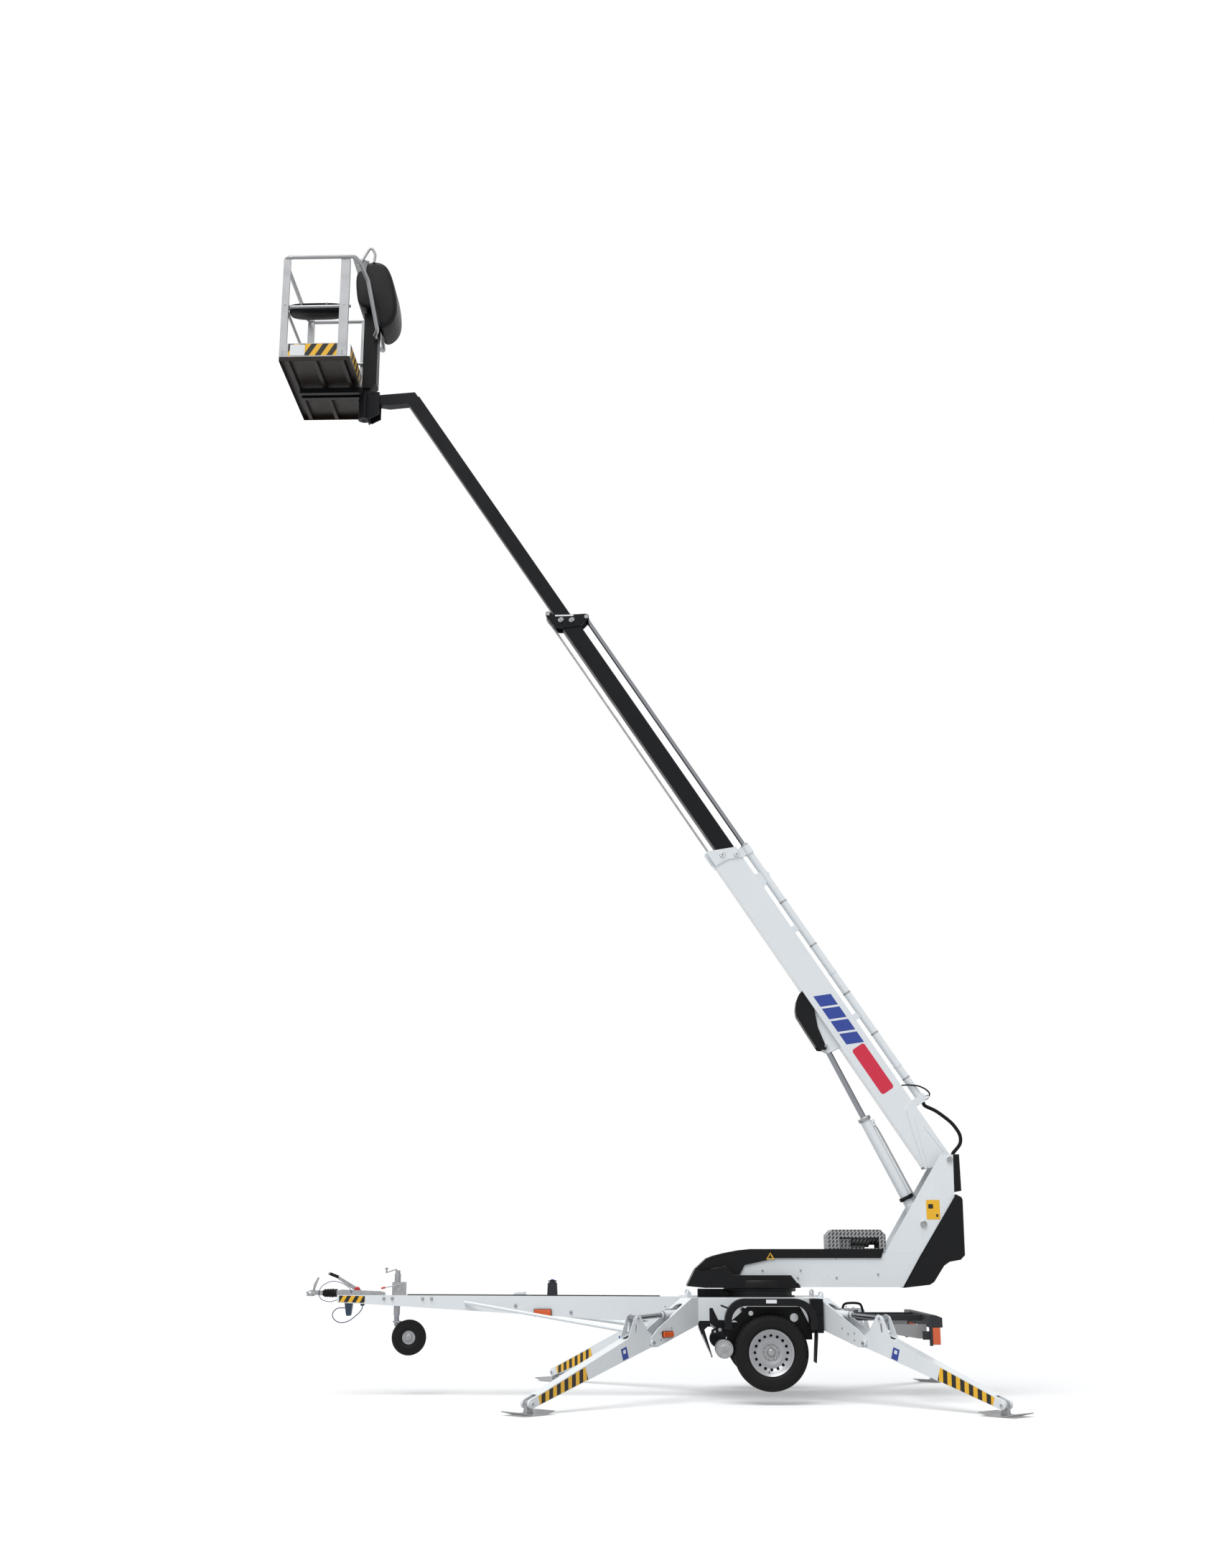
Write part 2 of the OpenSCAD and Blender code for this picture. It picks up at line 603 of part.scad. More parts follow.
// Leg box tapering to its foot, with two ears for the cylinder over the hinge
module leg() {
    rotate([0, leg_slope, 0]) difference() {
        union() {
            difference() {
                union() {
                    side_plate(leg_outline, leg_w);
                    cross_bar(72, leg_w, leg_len, 0);
                }
                side_plate([[40, -30], [leg_len - 90, -30], [leg_len - 90, 36], [270, 112], [60, 115]], leg_w - 2 * leg_wall);
                side_plate([[leg_len - 90, -60], [leg_len + 60, -60], [leg_len + 60, 60], [leg_len - 90, 60]], 52);
            }
            for (y = [-1, 1]) side_plate([[20, 116], [66, 258], [80, 269], [126, 269], [140, 258], [262, 116]], leg_wall,
                y * (leg_w - leg_wall) / 2);
        }
        cross_bar(pin_d + 1, leg_w + 2, 0, 0);
        cross_bar(pin_d - 4, leg_w + 2, leg_len, 0);
        hull() for (p = [[150, 150], [128, 200]]) cross_bar(22, leg_w + 2, p[0], p[1]);
        cross_bar(26, leg_w + 2, leg_ear[0], leg_ear[1]);
    }
    rotate([0, leg_slope, 0]) for (y = [-1, 1]) {
        cross_bar(38, 7, leg_ear[0], leg_ear[1], y * (leg_w / 2 + 3.5));
        cross_bar(34, 7, leg_len, 0, y * (leg_w / 2 + 3.5));
    }
}

module placed_leg(i) color("white") at_outrigger(corner_side[i]) leg();
module leg_front_left() placed_leg(0);
module leg_front_right() placed_leg(1);
module leg_rear_left() placed_leg(2);
module leg_rear_right() placed_leg(3);

pad_t = 8;
pad_flat = 120;
pad_rise = 24;

// Foot plate bent up at both ends, with a lug for the leg's fork
module pad() {
    difference() {
        union() {
            side_plate([[-pad_len / 2, pad_rise], [-pad_flat / 2, 0], [pad_flat / 2, 0], [pad_len / 2, pad_rise],
                [pad_len / 2, pad_rise + pad_t], [pad_flat / 2 - 1, pad_t], [-pad_flat / 2 + 1, pad_t],
                [-pad_len / 2, pad_rise + pad_t]], pad_w);
            side_plate([[-38, 0], [38, 0], [24, pad_pin_z + 6], [-24, pad_pin_z + 6]], 40);
            cross_bar(56, 40, 0, pad_pin_z);
        }
    }
    cross_bar(pin_d - 5, leg_w - 2, 0, pad_pin_z);
}

module placed_pad(i) {
    color("silver") at_outrigger(corner_side[i]) translate([leg_flat, 0, -hinge_z]) pad();
}
module pad_front_left() placed_pad(0);
module pad_front_right() placed_pad(1);
module pad_rear_left() placed_pad(2);
module pad_rear_right() placed_pad(3);

// Frame of an outrigger cylinder: origin on its base pin, X towards the leg's ear
module at_ram(i) {
    at_outrigger(corner_side[i]) translate([leg_base[0], 0, leg_base[1]]) rotate([0, -ram_angle, 0]) children();
}

module ram_barrel_part(i) color("white") at_ram(i) {
    difference() {
        union() {
            rotate([0, 90, 0]) cylinder(d = 62, h = ram_barrel);
            cross_bar(52, 50);
        }
        cross_bar(26, 80);
        translate([50, 0, 0]) rotate([0, 90, 0]) cylinder(d = 48, h = ram_barrel);
    }
    difference() {
        translate([ram_barrel - 24, 0, 0]) rotate([0, 90, 0]) cylinder(d = 56, h = 30);
        translate([ram_barrel - 30, 0, 0]) rotate([0, 90, 0]) cylinder(d = 41, h = 50);
    }
}
module ram_rod_part(i) color("lightgray") at_ram(i) {
    difference() {
        union() {
            translate([ram_len - 365, 0, 0]) rotate([0, 90, 0]) cylinder(d = 40, h = 350);
            cross_bar(52, 60, ram_len, 0);
        }
        cross_bar(26, 80, ram_len, 0);
    }
}
module leg_barrel_front_left() ram_barrel_part(0);
module leg_barrel_front_right() ram_barrel_part(1);
module leg_barrel_rear_left() ram_barrel_part(2);
module leg_barrel_rear_right() ram_barrel_part(3);
module leg_rod_front_left() ram_rod_part(0);
module leg_rod_front_right() ram_rod_part(1);
module leg_rod_rear_left() ram_rod_part(2);
module leg_rod_rear_right() ram_rod_part(3);

// Turntable

frame_outline = [[-430, 975], [335, 975], [365, 940], [1269, 940], [1445, 1233], [-150, 1233], [-430, 1100]];

module turntable_frame() {
    color("white") at_slew() welded_box(frame_outline, turret_w, turret_wall);
    color("black") at_slew() difference() {
        translate([0, 0, deck_z + 45 + slip]) cylinder(d = slew_d + 10, h = 930 - deck_z - slip, $fn = 96);
        translate([0, 0, deck_z + 40]) cylinder(d = slew_bore, h = 200);
    }
}

tower_outline = [[1118, 1233.3], [1447, 1233.3], [1762, 1724], [1769, 2098], [1654, 2098], [1345, 1600]];

foot_gap = 110;
foot_pin_d = 40;
pivot_d = 44;

// Tower plates with the boom's pivot pin on top and the lift cylinder's bosses below
module tower() {
    color("white") at_slew() {
        difference() {
            union() {
                for (y = [-1, 1]) side_plate(tower_outline, turret_wall, y * (turret_w - turret_wall) / 2);
                side_plate([[1420, 1233.3], [1434, 1233.3], [1700, 1648], [1700, 1664]], turret_w - 2 * turret_wall);
                side_plate([[1150, 1233.3], [1428, 1233.3], [1428, 1245], [1158, 1245]], turret_w - 2 * turret_wall);
                cross_bar(62, turret_w + 16, lift_foot_x, lift_foot_z);
            }
            for (y = [-1, 1]) cross_bar(34, 140, lift_foot_x, lift_foot_z, y * 155);
            side_plate([[lift_foot_x - 60, lift_foot_z - 60], [lift_foot_x + 60, lift_foot_z - 60],
                [lift_foot_x + 60, lift_foot_z + 60], [lift_foot_x - 60, lift_foot_z + 60]], foot_gap);
        }
        cross_bar(pivot_d, turret_w + 10, boom_pivot_x, boom_pivot_z);
        for (y = [-1, 1]) cross_bar(62, 10, boom_pivot_x, boom_pivot_z, y * (turret_w / 2 + 5));
        cross_bar(foot_pin_d, foot_gap + 40, lift_foot_x, lift_foot_z);
    }
}

ballast_outline = [[1297, 985], [1500, 985], [1640, 1190], [1780, 1250], [1780, 1680], [1734.4, 1680], [1448, 1233]];

// Steel ballast behind the tower, inside the rear cover
module counterweight() {
    color("dimgray") at_slew() side_plate(ballast_outline, turret_w - 60);
}

rear_outline = [[1274, 934], [1505, 960], [1545, 985], [1640, 1125], [1690, 1158], [1790, 1176], [1829, 1215], [1833, 1700],
    [1822, 1722], [1776, 1746]];
rear_cover_w = turret_w + 30;
cover_t = 4;

// Moulded cover round the ballast, open where it meets the tower's rear edge
module rear_cover() {
    color("black") at_slew() difference() {
        side_plate(rear_outline, rear_cover_w);
        side_plate(inset(rear_outline, cover_t), rear_cover_w - 2 * cover_t);
        side_plate([[1200, 900], [1273, 936], [1446, 1233.5], [1763, 1724], [1775, 1760], [1200, 1760]], turret_w + 1);
        side_plate([[1262, 944], [1310, 944], [1795, 1722], [1750, 1722]], rear_cover_w - 2 * cover_t);
    }
}

skirt_outline = [[-660, 950], [-500, 935], [351, 935], [265, 1043], [-250, 1043], [-315, 1118], [-535, 1078], [-590, 1086]];
hood_top = 1269;
hood_outline = [[-590, 1090], [-535, 1082], [-313, 1122], [-248, 1047], [-185, 1047], [-140, 1130], [60, 1172], [85, 1190],
    [1080, 1190], [1110, hood_top], [-80, hood_top], [-190, 1258], [-330, 1232], [-425, 1208], [-482, 1186]];
skirt_half_w = 330;
hood_w = turret_w + 24;

// Moulded covers of the turntable: the skirt round the slewing drive, the hood above it and the hinge cover
module covers() {
    color("black") at_slew() {
        difference() {
            side_plate(skirt_outline, 2 * skirt_half_w);
            side_plate(inset(skirt_outline, cover_t), 2 * skirt_half_w - 2 * cover_t);
            side_plate([[-640, 900], [-470, 900], [-470, 945], [-640, 945]], 600);
            translate([0, 0, 900]) cylinder(d = slew_d + 24, h = 60);
            side_plate([[-440, 930], [900, 930], [900, 1200], [-140, 1200], [-440, 1110]], turret_w + 2 * slip);
        }
        difference() {
            side_plate(hood_outline, hood_w);
            side_plate(inset(hood_outline, cover_t), hood_w - 2 * cover_t);
            side_plate([[-440, 900], [1200, 900], [1200, 1233.3], [-140, 1233.3], [-440, 1100.3]], turret_w + 2 * slip);
        }
        difference() {
            side_plate([[1771, 1776], [1828, 1776], [1824, 2100], [1771, 2100]], turret_w);
            side_plate([[1700, 1700], [1824, 1700], [1820, 2094], [1700, 2094]], turret_w - 2 * cover_t);
        }
    }
}

guard_outline = [[610, hood_top + slip], [1130, hood_top + slip], [1130, 1392], [1084, 1438], [656, 1438], [610, 1392]];

// Guard of perforated sheet with a window in each side, over the electric motor, its pump and their tank
module motor_guard() {
    color("gray") at_slew() difference() {
        side_plate(guard_outline, turret_w);
        side_plate(inset(guard_outline, 3), turret_w - 6);
        side_plate([[620, 1260], [1120, 1260], [1120, 1300], [620, 1300]], turret_w - 6);
        side_plate([[715, 1275], [1070, 1275], [1070, 1369], [715, 1369]], turret_w + 2);
    }
    color("gray") at_slew() {
        translate([700, 40, 1350]) rotate([0, 90, 0]) cylinder(d = 130, h = 300);
        translate([1000, 40, 1350]) rotate([0, 90, 0]) cylinder(d = 90, h = 100);
        translate([740, -20, hood_top + slip]) cube([220, 120, 30]);
        translate([640, -150, hood_top + slip]) cube([180, 110, 90]);
    }
}

// Lift cylinder

lift_pin = [1456, -325];
lift_pin_x = boom_pivot_x + lift_pin[0] * boom_dx + lift_pin[1] * boom_nx;
lift_pin_z = boom_pivot_z + lift_pin[0] * boom_dz + lift_pin[1] * boom_nz;
lift_v = [lift_pin_x - lift_foot_x, lift_pin_z - lift_foot_z];
lift_len = norm(lift_v);
lift_angle = atan2(lift_v[1], -lift_v[0]);
lift_barrel = 1070;
lift_eye = 72;

module at_lift() {
    translate([slew_x + lift_foot_x, 0, lift_foot_z]) rotate([0, -lift_angle, 180]) children();
}

module lift_cylinder() {
    color("white") at_lift() {
        difference() {
            union() {
                rotate([0, 90, 0]) cylinder(d = lift_barrel_d, h = lift_barrel);
                cross_bar(90, 84);
                translate([150, 0, 0]) rotate([0, 90, 0]) cylinder(d = lift_barrel_d + 16, h = 40);
                translate([120, 0, lift_barrel_d / 2 + 14]) rotate([0, 90, 0]) cylinder(d = 16, h = 900);
                for (x = [130, 990]) translate([x, -14, lift_barrel_d / 2 - 6]) cube([30, 28, 34]);
            }
            cross_bar(41, 120);
            translate([80, 0, 0]) rotate([0, 90, 0]) cylinder(d = lift_barrel_d - 16, h = lift_barrel - 110);
            translate([80, 0, 0]) rotate([0, 90, 0]) cylinder(d = lift_rod_d + 1, h = lift_barrel);
        }
    }
}

module lift_rod() {
    color("lightgray") at_lift() difference() {
        union() {
            translate([lift_len - 1060, 0, 0]) rotate([0, 90, 0]) cylinder(d = lift_rod_d, h = 1040);
            cross_bar(lift_eye, 64, lift_len);
        }
        cross_bar(38, 120, lift_len);
    }
}

// Boom

module box_tube(x0, x1, h, w, mid, wall) {
    difference() {
        translate([x0, -w / 2, mid - h / 2]) cube([x1 - x0, w, h]);
        translate([x0 - 1, -w / 2 + wall, mid - h / 2 + wall]) cube([x1 - x0 + 2, w - 2 * wall, h - 2 * wall]);
    }
}

// Sliding pads filling the space between one section and the next, as a ring of h by w round a bore
module slide_pads(x, h, w, mid, bore_h, bore_w, bore_mid) {
    difference() {
        translate([x, -w / 2, mid - h / 2]) cube([pad_ring, w, h]);
        translate([x - 1, -bore_w / 2, bore_mid - bore_h / 2]) cube([pad_ring + 2, bore_w, bore_h]);
    }
}

pad_ring = 80;
section_mid = -50;
chain_n = -196;
chain_w = 24;
chain_h = 18;
inner_mid = -52;
main_top = boom_mid + main_h / 2;
main_under = boom_mid - main_h / 2;
collar_outline = [[3366, main_top + 4], [3425, -84], [3436, main_under - 4], [3604, main_under - 4], [3611, -205],
    [3485, main_top + 4]];
boot_outline = [[48, main_under - 4], [574, -55], [611, 12], [611, main_top], [0, main_top], [-30, 18], [-30, -20], [16, -150]];
ear_gap = 74;

module main_boom() {
    color("white") at_boom() {
        difference() {
            union() {
                box_tube(66, main_len, main_h, main_w, boom_mid, boom_wall);
                for (y = [-1, 1]) side_plate(boot_outline, 10, y * (main_w / 2 + 5));
                cross_bar(60, turret_w - 2 * turret_wall - 2 * slip);
                for (y = [-1, 1]) side_plate(collar_outline, 8, y * (main_w / 2 + 4));
                for (y = [-1, 1]) side_plate([[1374, main_under + 1], [1390, lift_pin[1] - 20], [1430, lift_pin[1] - 46],
                    [1490, lift_pin[1] - 46], [1530, lift_pin[1] - 10], [1810, main_under + 1]], 12, y * (ear_gap / 2 + 6));
                side_plate([[3420, main_under + 1], [3480, main_under - 24], [3600, main_under - 24], [3604, main_under + 1]], 70);
            }
            side_plate([[3470, 80], [3487, main_top], [3604.5, main_under], [3640, -290], [3800, -290], [3800, 80]], 300);
            cross_bar(45, turret_w);
            side_plate([[60, main_under + boom_wall], [main_len + 100, main_under + boom_wall],
                [main_len + 100, main_top - boom_wall], [60, main_top - boom_wall]], main_w - 2 * boom_wall);
            cross_bar(38, 200, lift_pin[0], lift_pin[1]);
        }
        for (y = [-1, 1]) cross_bar(60, 10, lift_pin[0], lift_pin[1], y * (ear_gap / 2 + 17));
        for (y = [-1, 1], p = [[3495, -109], [3425, 7]]) cross_bar(50, 8, p[0], p[1], y * (main_w / 2 + 12));
        difference() {
            slide_pads(3390, main_h - boom_wall, main_w - boom_wall, boom_mid, middle_h + 2 * slip, middle_w + 2 * slip, section_mid);
            translate([3380, -chain_w / 2 - 6, chain_n - chain_h / 2 - 4]) cube([pad_ring + 20, chain_w + 12, chain_h + 12]);
        }
    }
}

// Moulded cover in front of the lift cylinder's ears
module lift_cover() {
    color("black") at_boom() for (y = [-1, 1]) side_plate([[1998, main_under - slip], [1988, -262], [1946, -322], [1890, -370],
        [1837, -397], [1470, -409], [1425, -350], [1436, -332], [1640, -290], [1799, main_under - slip]], 6, y * (ear_gap / 2 + 28));
}

tele_n = 130;
tele_d = 72;
tele_foot = 560;
tele_rod_d = 44;
tele_head = 3380;

// Telescope cylinder's tube on the boom's top side, with its clamp, saddle and feet
module telescope_tube() {
    color("white") at_boom() difference() {
        union() {
            translate([tele_foot, 0, tele_n]) rotate([0, 90, 0]) cylinder(d = tele_d, h = tele_head - tele_foot);
            translate([tele_head - 12, 0, tele_n]) rotate([0, 90, 0]) cylinder(d = tele_d + 16, h = 92);
            side_plate([[tele_head, main_top + slip], [3470, main_top + slip], [tele_head + 80, tele_n], [tele_head, tele_n]], 60);
            side_plate([[3010, main_top + slip], [3180, main_top + slip], [3150, tele_n], [3130, tele_n + 44], [3090, tele_n + 40]], 50);
            translate([tele_foot - 20, -40, main_top + slip]) cube([70, 80, tele_n - main_top + 45]);
            for (x = [930, 1980]) translate([x, 0, tele_n]) rotate([0, 90, 0]) cylinder(d = tele_d + 6, h = 24);
            for (x = [1500, 2500]) translate([x, -20, main_top + slip]) cube([60, 40, 60]);
        }
        translate([tele_foot + 20, 0, tele_n]) rotate([0, 90, 0]) cylinder(d = 56, h = tele_head - tele_foot - 60);
        translate([tele_foot + 60, 0, tele_n]) rotate([0, 90, 0]) cylinder(d = tele_rod_d + 2 * slip, h = tele_head);
    }
}

middle_h = 164;
middle_w = 140;
middle_tail = 2700;
main_tele_tail = 3250;
inner_h = 137;
inner_w = 105;
inner_overlap = 850;
inner_tail = middle_reach - inner_overlap;
chain_tail = 3300;
pulley_r = 24;
adjusters = [[6373, -100], [6313, -10]];
inner_wall = 4;

head_outline = [[6212, 34], [6304, -150], [6338, -190], [6470, -200], [6502, -198], [6524, -184], [6526, -162], [6508, -146],
    [6450, -122], [6350, 42], [6290, 146], [6264, 160], [6240, 146], [6222, 90]];
chain_eye = [6500, -172];
rod_eye = [6262, tele_n];

// Middle section with its head, which carries the chain's pulley below and the telescope rod's eye above
module middle_boom() {
    color("black") at_boom() {
        box_tube(middle_tail, middle_reach - 110, middle_h, middle_w, section_mid, boom_wall);
        slide_pads(middle_tail, main_h - 2 * boom_wall - 2 * slip, main_w - 2 * boom_wall - 2 * slip, boom_mid,
            middle_h - boom_wall, middle_w - boom_wall, section_mid);
        slide_pads(middle_reach - 220, middle_h - boom_wall, middle_w - boom_wall, section_mid,
            inner_h + 2 * slip, inner_w + 2 * slip, inner_mid);
        for (y = [-1, 1]) side_plate(head_outline, 10, y * (middle_w / 2 + 4.5));
        cross_bar(44, middle_w, chain_eye[0], chain_eye[1]);
        cross_bar(52, 40, rod_eye[0], rod_eye[1]);
        cross_bar(24, middle_w, rod_eye[0], rod_eye[1]);
        translate([main_tele_tail, 0, tele_n]) rotate([0, 90, 0]) cylinder(d = tele_rod_d, h = rod_eye[0] - main_tele_tail);
        translate([main_tele_tail, 0, tele_n]) rotate([0, 90, 0]) cylinder(d = 56 - 2 * slip, h = 40);
        for (y = [-1, 1], p = adjusters) cross_bar(46, 8, p[0], p[1], y * (middle_w / 2 + 13));
    }
}

// Chain that pulls the inner section out, from inside the outer section's head up to the middle section's pulley
module pull_chain() {
    color("silver") at_boom() translate([chain_tail, -chain_w / 2, chain_n - chain_h / 2])
        cube([chain_eye[0] - chain_tail - pulley_r, chain_w, chain_h]);
}

neck_outline = [[62, -134], [150, -300], [230, -385], [320, -405], [349, -371], [303, -318], [123, 6], [-15, 6]];

module inner_boom() {
    color("black") at_boom() difference() {
        union() {
            box_tube(inner_tail, boom_reach + 60, inner_h, inner_w, inner_mid, inner_wall);
            slide_pads(inner_tail, middle_h - 2 * boom_wall - 2 * slip, middle_w - 2 * boom_wall - 2 * slip, section_mid,
                inner_h - inner_wall, inner_w - inner_wall, inner_mid);
            translate([boom_reach, 0, 0]) side_plate(neck_outline, inner_w);
            cross_bar(68, 80, level_pin[0], level_pin[1]);
        }
        cross_bar(30 + 2 * slip, 200, level_pin[0], level_pin[1]);
    }
}

// Basket and its carrier, drawn from the levelling pin

swivel_x = -90;
cheek_outline = [[74, -235], [74, 14], [-20, 26], [-38, 10], [-38, -280], [-12, -280], [30, -256]];

module level_bracket() {
    color("black") at_basket() difference() {
        union() {
            for (y = [-1, 1]) side_plate(cheek_outline, 12, y * 64);
            translate([-52, -70, -290]) cube([12, 140, 280]);
            difference() {
                translate([swivel_x, 0, -269]) cylinder(d = 124, h = 260);
                translate([-41, -70, -300]) cube([200, 140, 400]);
            }
        }
        translate([swivel_x, 0, -300]) cylinder(d = 40, h = 400);
    }
    color("silver") at_basket() cross_bar(30, 150);
}

front_x = basket_back - basket_l;

module basket_floor() {
    color("silver") at_basket() {
        difference() {
            translate([front_x, -basket_w / 2, floor_z - 48]) cube([basket_l, basket_w, 48]);
            translate([front_x + 4, -basket_w / 2 + 4, floor_z - 49]) cube([basket_l - 8, basket_w - 8, 45]);
        }
        for (x = [front_x + 60, front_x + 340, basket_back - 100])
            translate([x, -basket_w / 2 + 4.3, floor_z - 44]) cube([40, basket_w - 8.6, 39.7]);
    }
}

mid_rail_h = 590;
mid_rail_d = 30;
mid_bend = 45;

guard_bend = 60;
front_bend = 90;
post_t = 34;

// Arc that rounds the corner b between a and c with a bend of radius r
function bend(a, b, c, r, steps = 6) =
    let (u = unit(a - b), v = unit(c - b), half = acos(u * v) / 2, m = b + unit(u + v) * r / sin(half),
         p = unit(b + u * r / tan(half) - m), w = unit(v * r / tan(half) + b - m), q = unit(w - p * (p * w)), turn = acos(p * w))
    [for (k = [0:steps]) m + r * (cos(turn * k / steps) * p + sin(turn * k / steps) * q)];

// Route through corner points, each rounded with its own radius
function bent_route(p, r) = [p[0], for (i = [1:len(p) - 2]) each bend(p[i - 1], p[i], p[i + 1], r[i]), p[len(p) - 1]];

module basket_frame() {
    x0 = front_x;
    x1 = basket_back;
    hw = basket_w / 2;
    mid_y = hw - post_t - mid_rail_d / 2 - slip;
    side_y = mid_y - mid_bend;
    guard = [[x1 + 155, 80.3, mid_rail_h - 75], [x1 + 155, 135, mid_rail_h - 75], [x1 + 195, 215, mid_rail_h - 65], [x1 + 110, hw - 250, rail_h - 130],
        [x1 + 60, hw - 50, rail_h - 50], [x1 + 10, hw, rail_h], [x0, hw, rail_h]];
    top = concat([for (p = guard) [p[0], -p[1], p[2]]], [for (i = [len(guard) - 1:-1:0]) guard[i]]);
    half = [0, 40, 45, guard_bend, guard_bend, guard_bend, front_bend];
    bends = concat(half, [for (i = [len(half) - 1:-1:0]) half[i]]);
    color("silver") at_basket() translate([0, 0, floor_z + slip]) {
        for (y = [-1, 1]) {
            translate([x0, y * hw - (y + 1) / 2 * post_t, 0]) cube([70, post_t, rail_h - rail_d / 2 - slip]);
            translate([x1 - 128, y * hw - (y + 1) / 2 * post_t, 0]) cube([94, post_t, rail_h - rail_d / 2 - slip]);
            translate([x0 + 70 + slip, y * (hw - 3) - 1.5, 0]) cube([basket_l - 198 - 2 * slip, 3, 150]);
        }
        swept_tube(bent_route(top, bends), rail_d, 12, [1, 1, 1]);
        translate([x0 + 30, slip - side_y, mid_rail_h]) rotate([-90, 0, 0]) cylinder(d = mid_rail_d, h = 2 * (side_y - slip));
        for (y = [-1, 1]) {
            translate([x0 + 30 + mid_bend + slip, y * mid_y, mid_rail_h]) rotate([0, 90, 0])
                cylinder(d = mid_rail_d, h = x1 - x0 - 50 - mid_bend - slip);
            translate([x0 + 30 + mid_bend, y * side_y, mid_rail_h]) rotate([0, 0, 135 - y * 45])
                rotate_extrude(angle = 90) translate([mid_bend, 0]) circle(d = mid_rail_d);
        }
        translate([x0, -hw + post_t + slip, 0]) cube([3, basket_w - 2 * post_t - 2 * slip, 150]);
        translate([x1 - 3, -hw + post_t + slip, 0]) cube([3, basket_w - 2 * post_t - 2 * slip, 150]);
    }
}

column_x = basket_back + 30;

module basket_column() {
    color("black") at_basket() {
        side_plate([[column_x, 62], [-20, 62], [35, 110], [35, 925], [column_x, 925]], 160);
        translate([swivel_x, 0, -265]) cylinder(d = 40 - 2 * slip, h = 330);
        translate([swivel_x, 0, slip - 9]) cylinder(d = 96, h = 72);
        for (y = [-80, 30]) translate([front_x + 100, y, floor_z - 108]) cube([column_x - front_x - 90, 50, 59.7]);
    }
}

// Control stand on the column: rounded hood behind, panel towards the basket, and a bent grab bar at each side
module console() {
    color("black") at_basket() {
        difference() {
            side_plate([[67, 711], [127, 711], [222, 821], [232, 981], [167, 1271], [87, 1431], [-63, 1451], [-103, 1371],
                [-53, 1171], [27, 931]], 420);
            side_plate([[-20, 700], [35 + slip, 700], [35 + slip, 925 + slip], [-20, 925 + slip]], 160 + 2 * slip);
        }
    }
    color("silver") at_basket() {
        side_plate([[-243, 1516], [-63, 1471], [-60, 1440], [-68, 1440], [-70, 1464], [-243, 1508]], 400);
        for (y = [-1, 1]) bent_tube([[-173, y * 210, 1411], [-53, y * 210, 1621], [-3, y * 210, 1531], [-13, y * 210, 1441]], 28);
    }
}

function boom_point(along, out) = [boom_pivot_x + along * boom_dx + out * boom_nx, 0, boom_pivot_z + along * boom_dz + out * boom_nz];
hose_route = [boom_point(tele_foot - 20 - slip, tele_n), boom_point(tele_foot - 26, tele_n), boom_point(tele_foot - 60, tele_n), [1667, 0, 2500],
    [1789, 0, 2406], [1850, 0, 2330], [1876, 0, 2269], [1868, 0, 2200], [1806, 0, 2125]];
hose_end = [[1798, 0, 2106], [1798, 0, 2100 + slip]];

module boom_hose() {
    color("black") at_slew() swept_tube(concat(smooth_route(hose_route, 3), hose_end), 28, 10);
}

chassis_frame();
outrigger_arms();
drawbar();
coupling_head();
coupling_bellows();
brake_lever();
plug_holder();
plug_cable();
breakaway_cable();
jockey_clamp();
boom_rest();
axle();
mudguards();
drive_units();
light_bar();
lamps();
slew_ring();
tyre_left();
tyre_right();
rim_left();
rim_right();
jockey_tube();
jockey_fork();
jockey_wheel();
leg_front_left();
leg_front_right();
leg_rear_left();
leg_rear_right();
pad_front_left();
pad_front_right();
pad_rear_left();
pad_rear_right();
leg_barrel_front_left();
leg_barrel_front_right();
leg_barrel_rear_left();
leg_barrel_rear_right();
leg_rod_front_left();
leg_rod_front_right();
leg_rod_rear_left();
leg_rod_rear_right();
turntable_frame();
tower();
counterweight();
covers();
rear_cover();
motor_guard();
lift_cylinder();
lift_rod();
main_boom();
lift_cover();
telescope_tube();
boom_hose();
pull_chain();
middle_boom();
inner_boom();
level_bracket();
basket_frame();
basket_floor();
basket_column();
console();
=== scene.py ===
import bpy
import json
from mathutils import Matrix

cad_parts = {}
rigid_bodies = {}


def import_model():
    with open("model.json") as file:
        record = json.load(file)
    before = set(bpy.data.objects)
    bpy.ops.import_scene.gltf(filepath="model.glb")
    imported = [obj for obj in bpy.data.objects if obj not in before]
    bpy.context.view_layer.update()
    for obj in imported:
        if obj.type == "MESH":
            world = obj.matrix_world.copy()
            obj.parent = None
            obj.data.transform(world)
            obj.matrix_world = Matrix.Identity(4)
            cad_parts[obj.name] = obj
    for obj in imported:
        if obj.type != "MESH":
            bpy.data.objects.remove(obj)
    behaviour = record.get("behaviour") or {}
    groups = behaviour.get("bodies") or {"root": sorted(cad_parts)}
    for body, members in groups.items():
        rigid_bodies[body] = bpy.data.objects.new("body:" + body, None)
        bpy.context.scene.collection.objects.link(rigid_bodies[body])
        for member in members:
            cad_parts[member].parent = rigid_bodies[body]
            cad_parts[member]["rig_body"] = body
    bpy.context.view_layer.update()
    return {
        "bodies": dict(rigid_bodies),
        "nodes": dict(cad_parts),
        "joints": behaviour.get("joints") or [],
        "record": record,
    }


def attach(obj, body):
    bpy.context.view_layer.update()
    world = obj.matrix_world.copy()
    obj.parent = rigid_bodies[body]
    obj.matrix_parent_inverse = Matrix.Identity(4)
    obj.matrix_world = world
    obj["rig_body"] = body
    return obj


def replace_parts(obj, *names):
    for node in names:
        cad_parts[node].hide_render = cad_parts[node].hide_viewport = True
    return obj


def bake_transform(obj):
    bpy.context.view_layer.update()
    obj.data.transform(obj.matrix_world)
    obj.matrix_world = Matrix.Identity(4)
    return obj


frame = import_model()

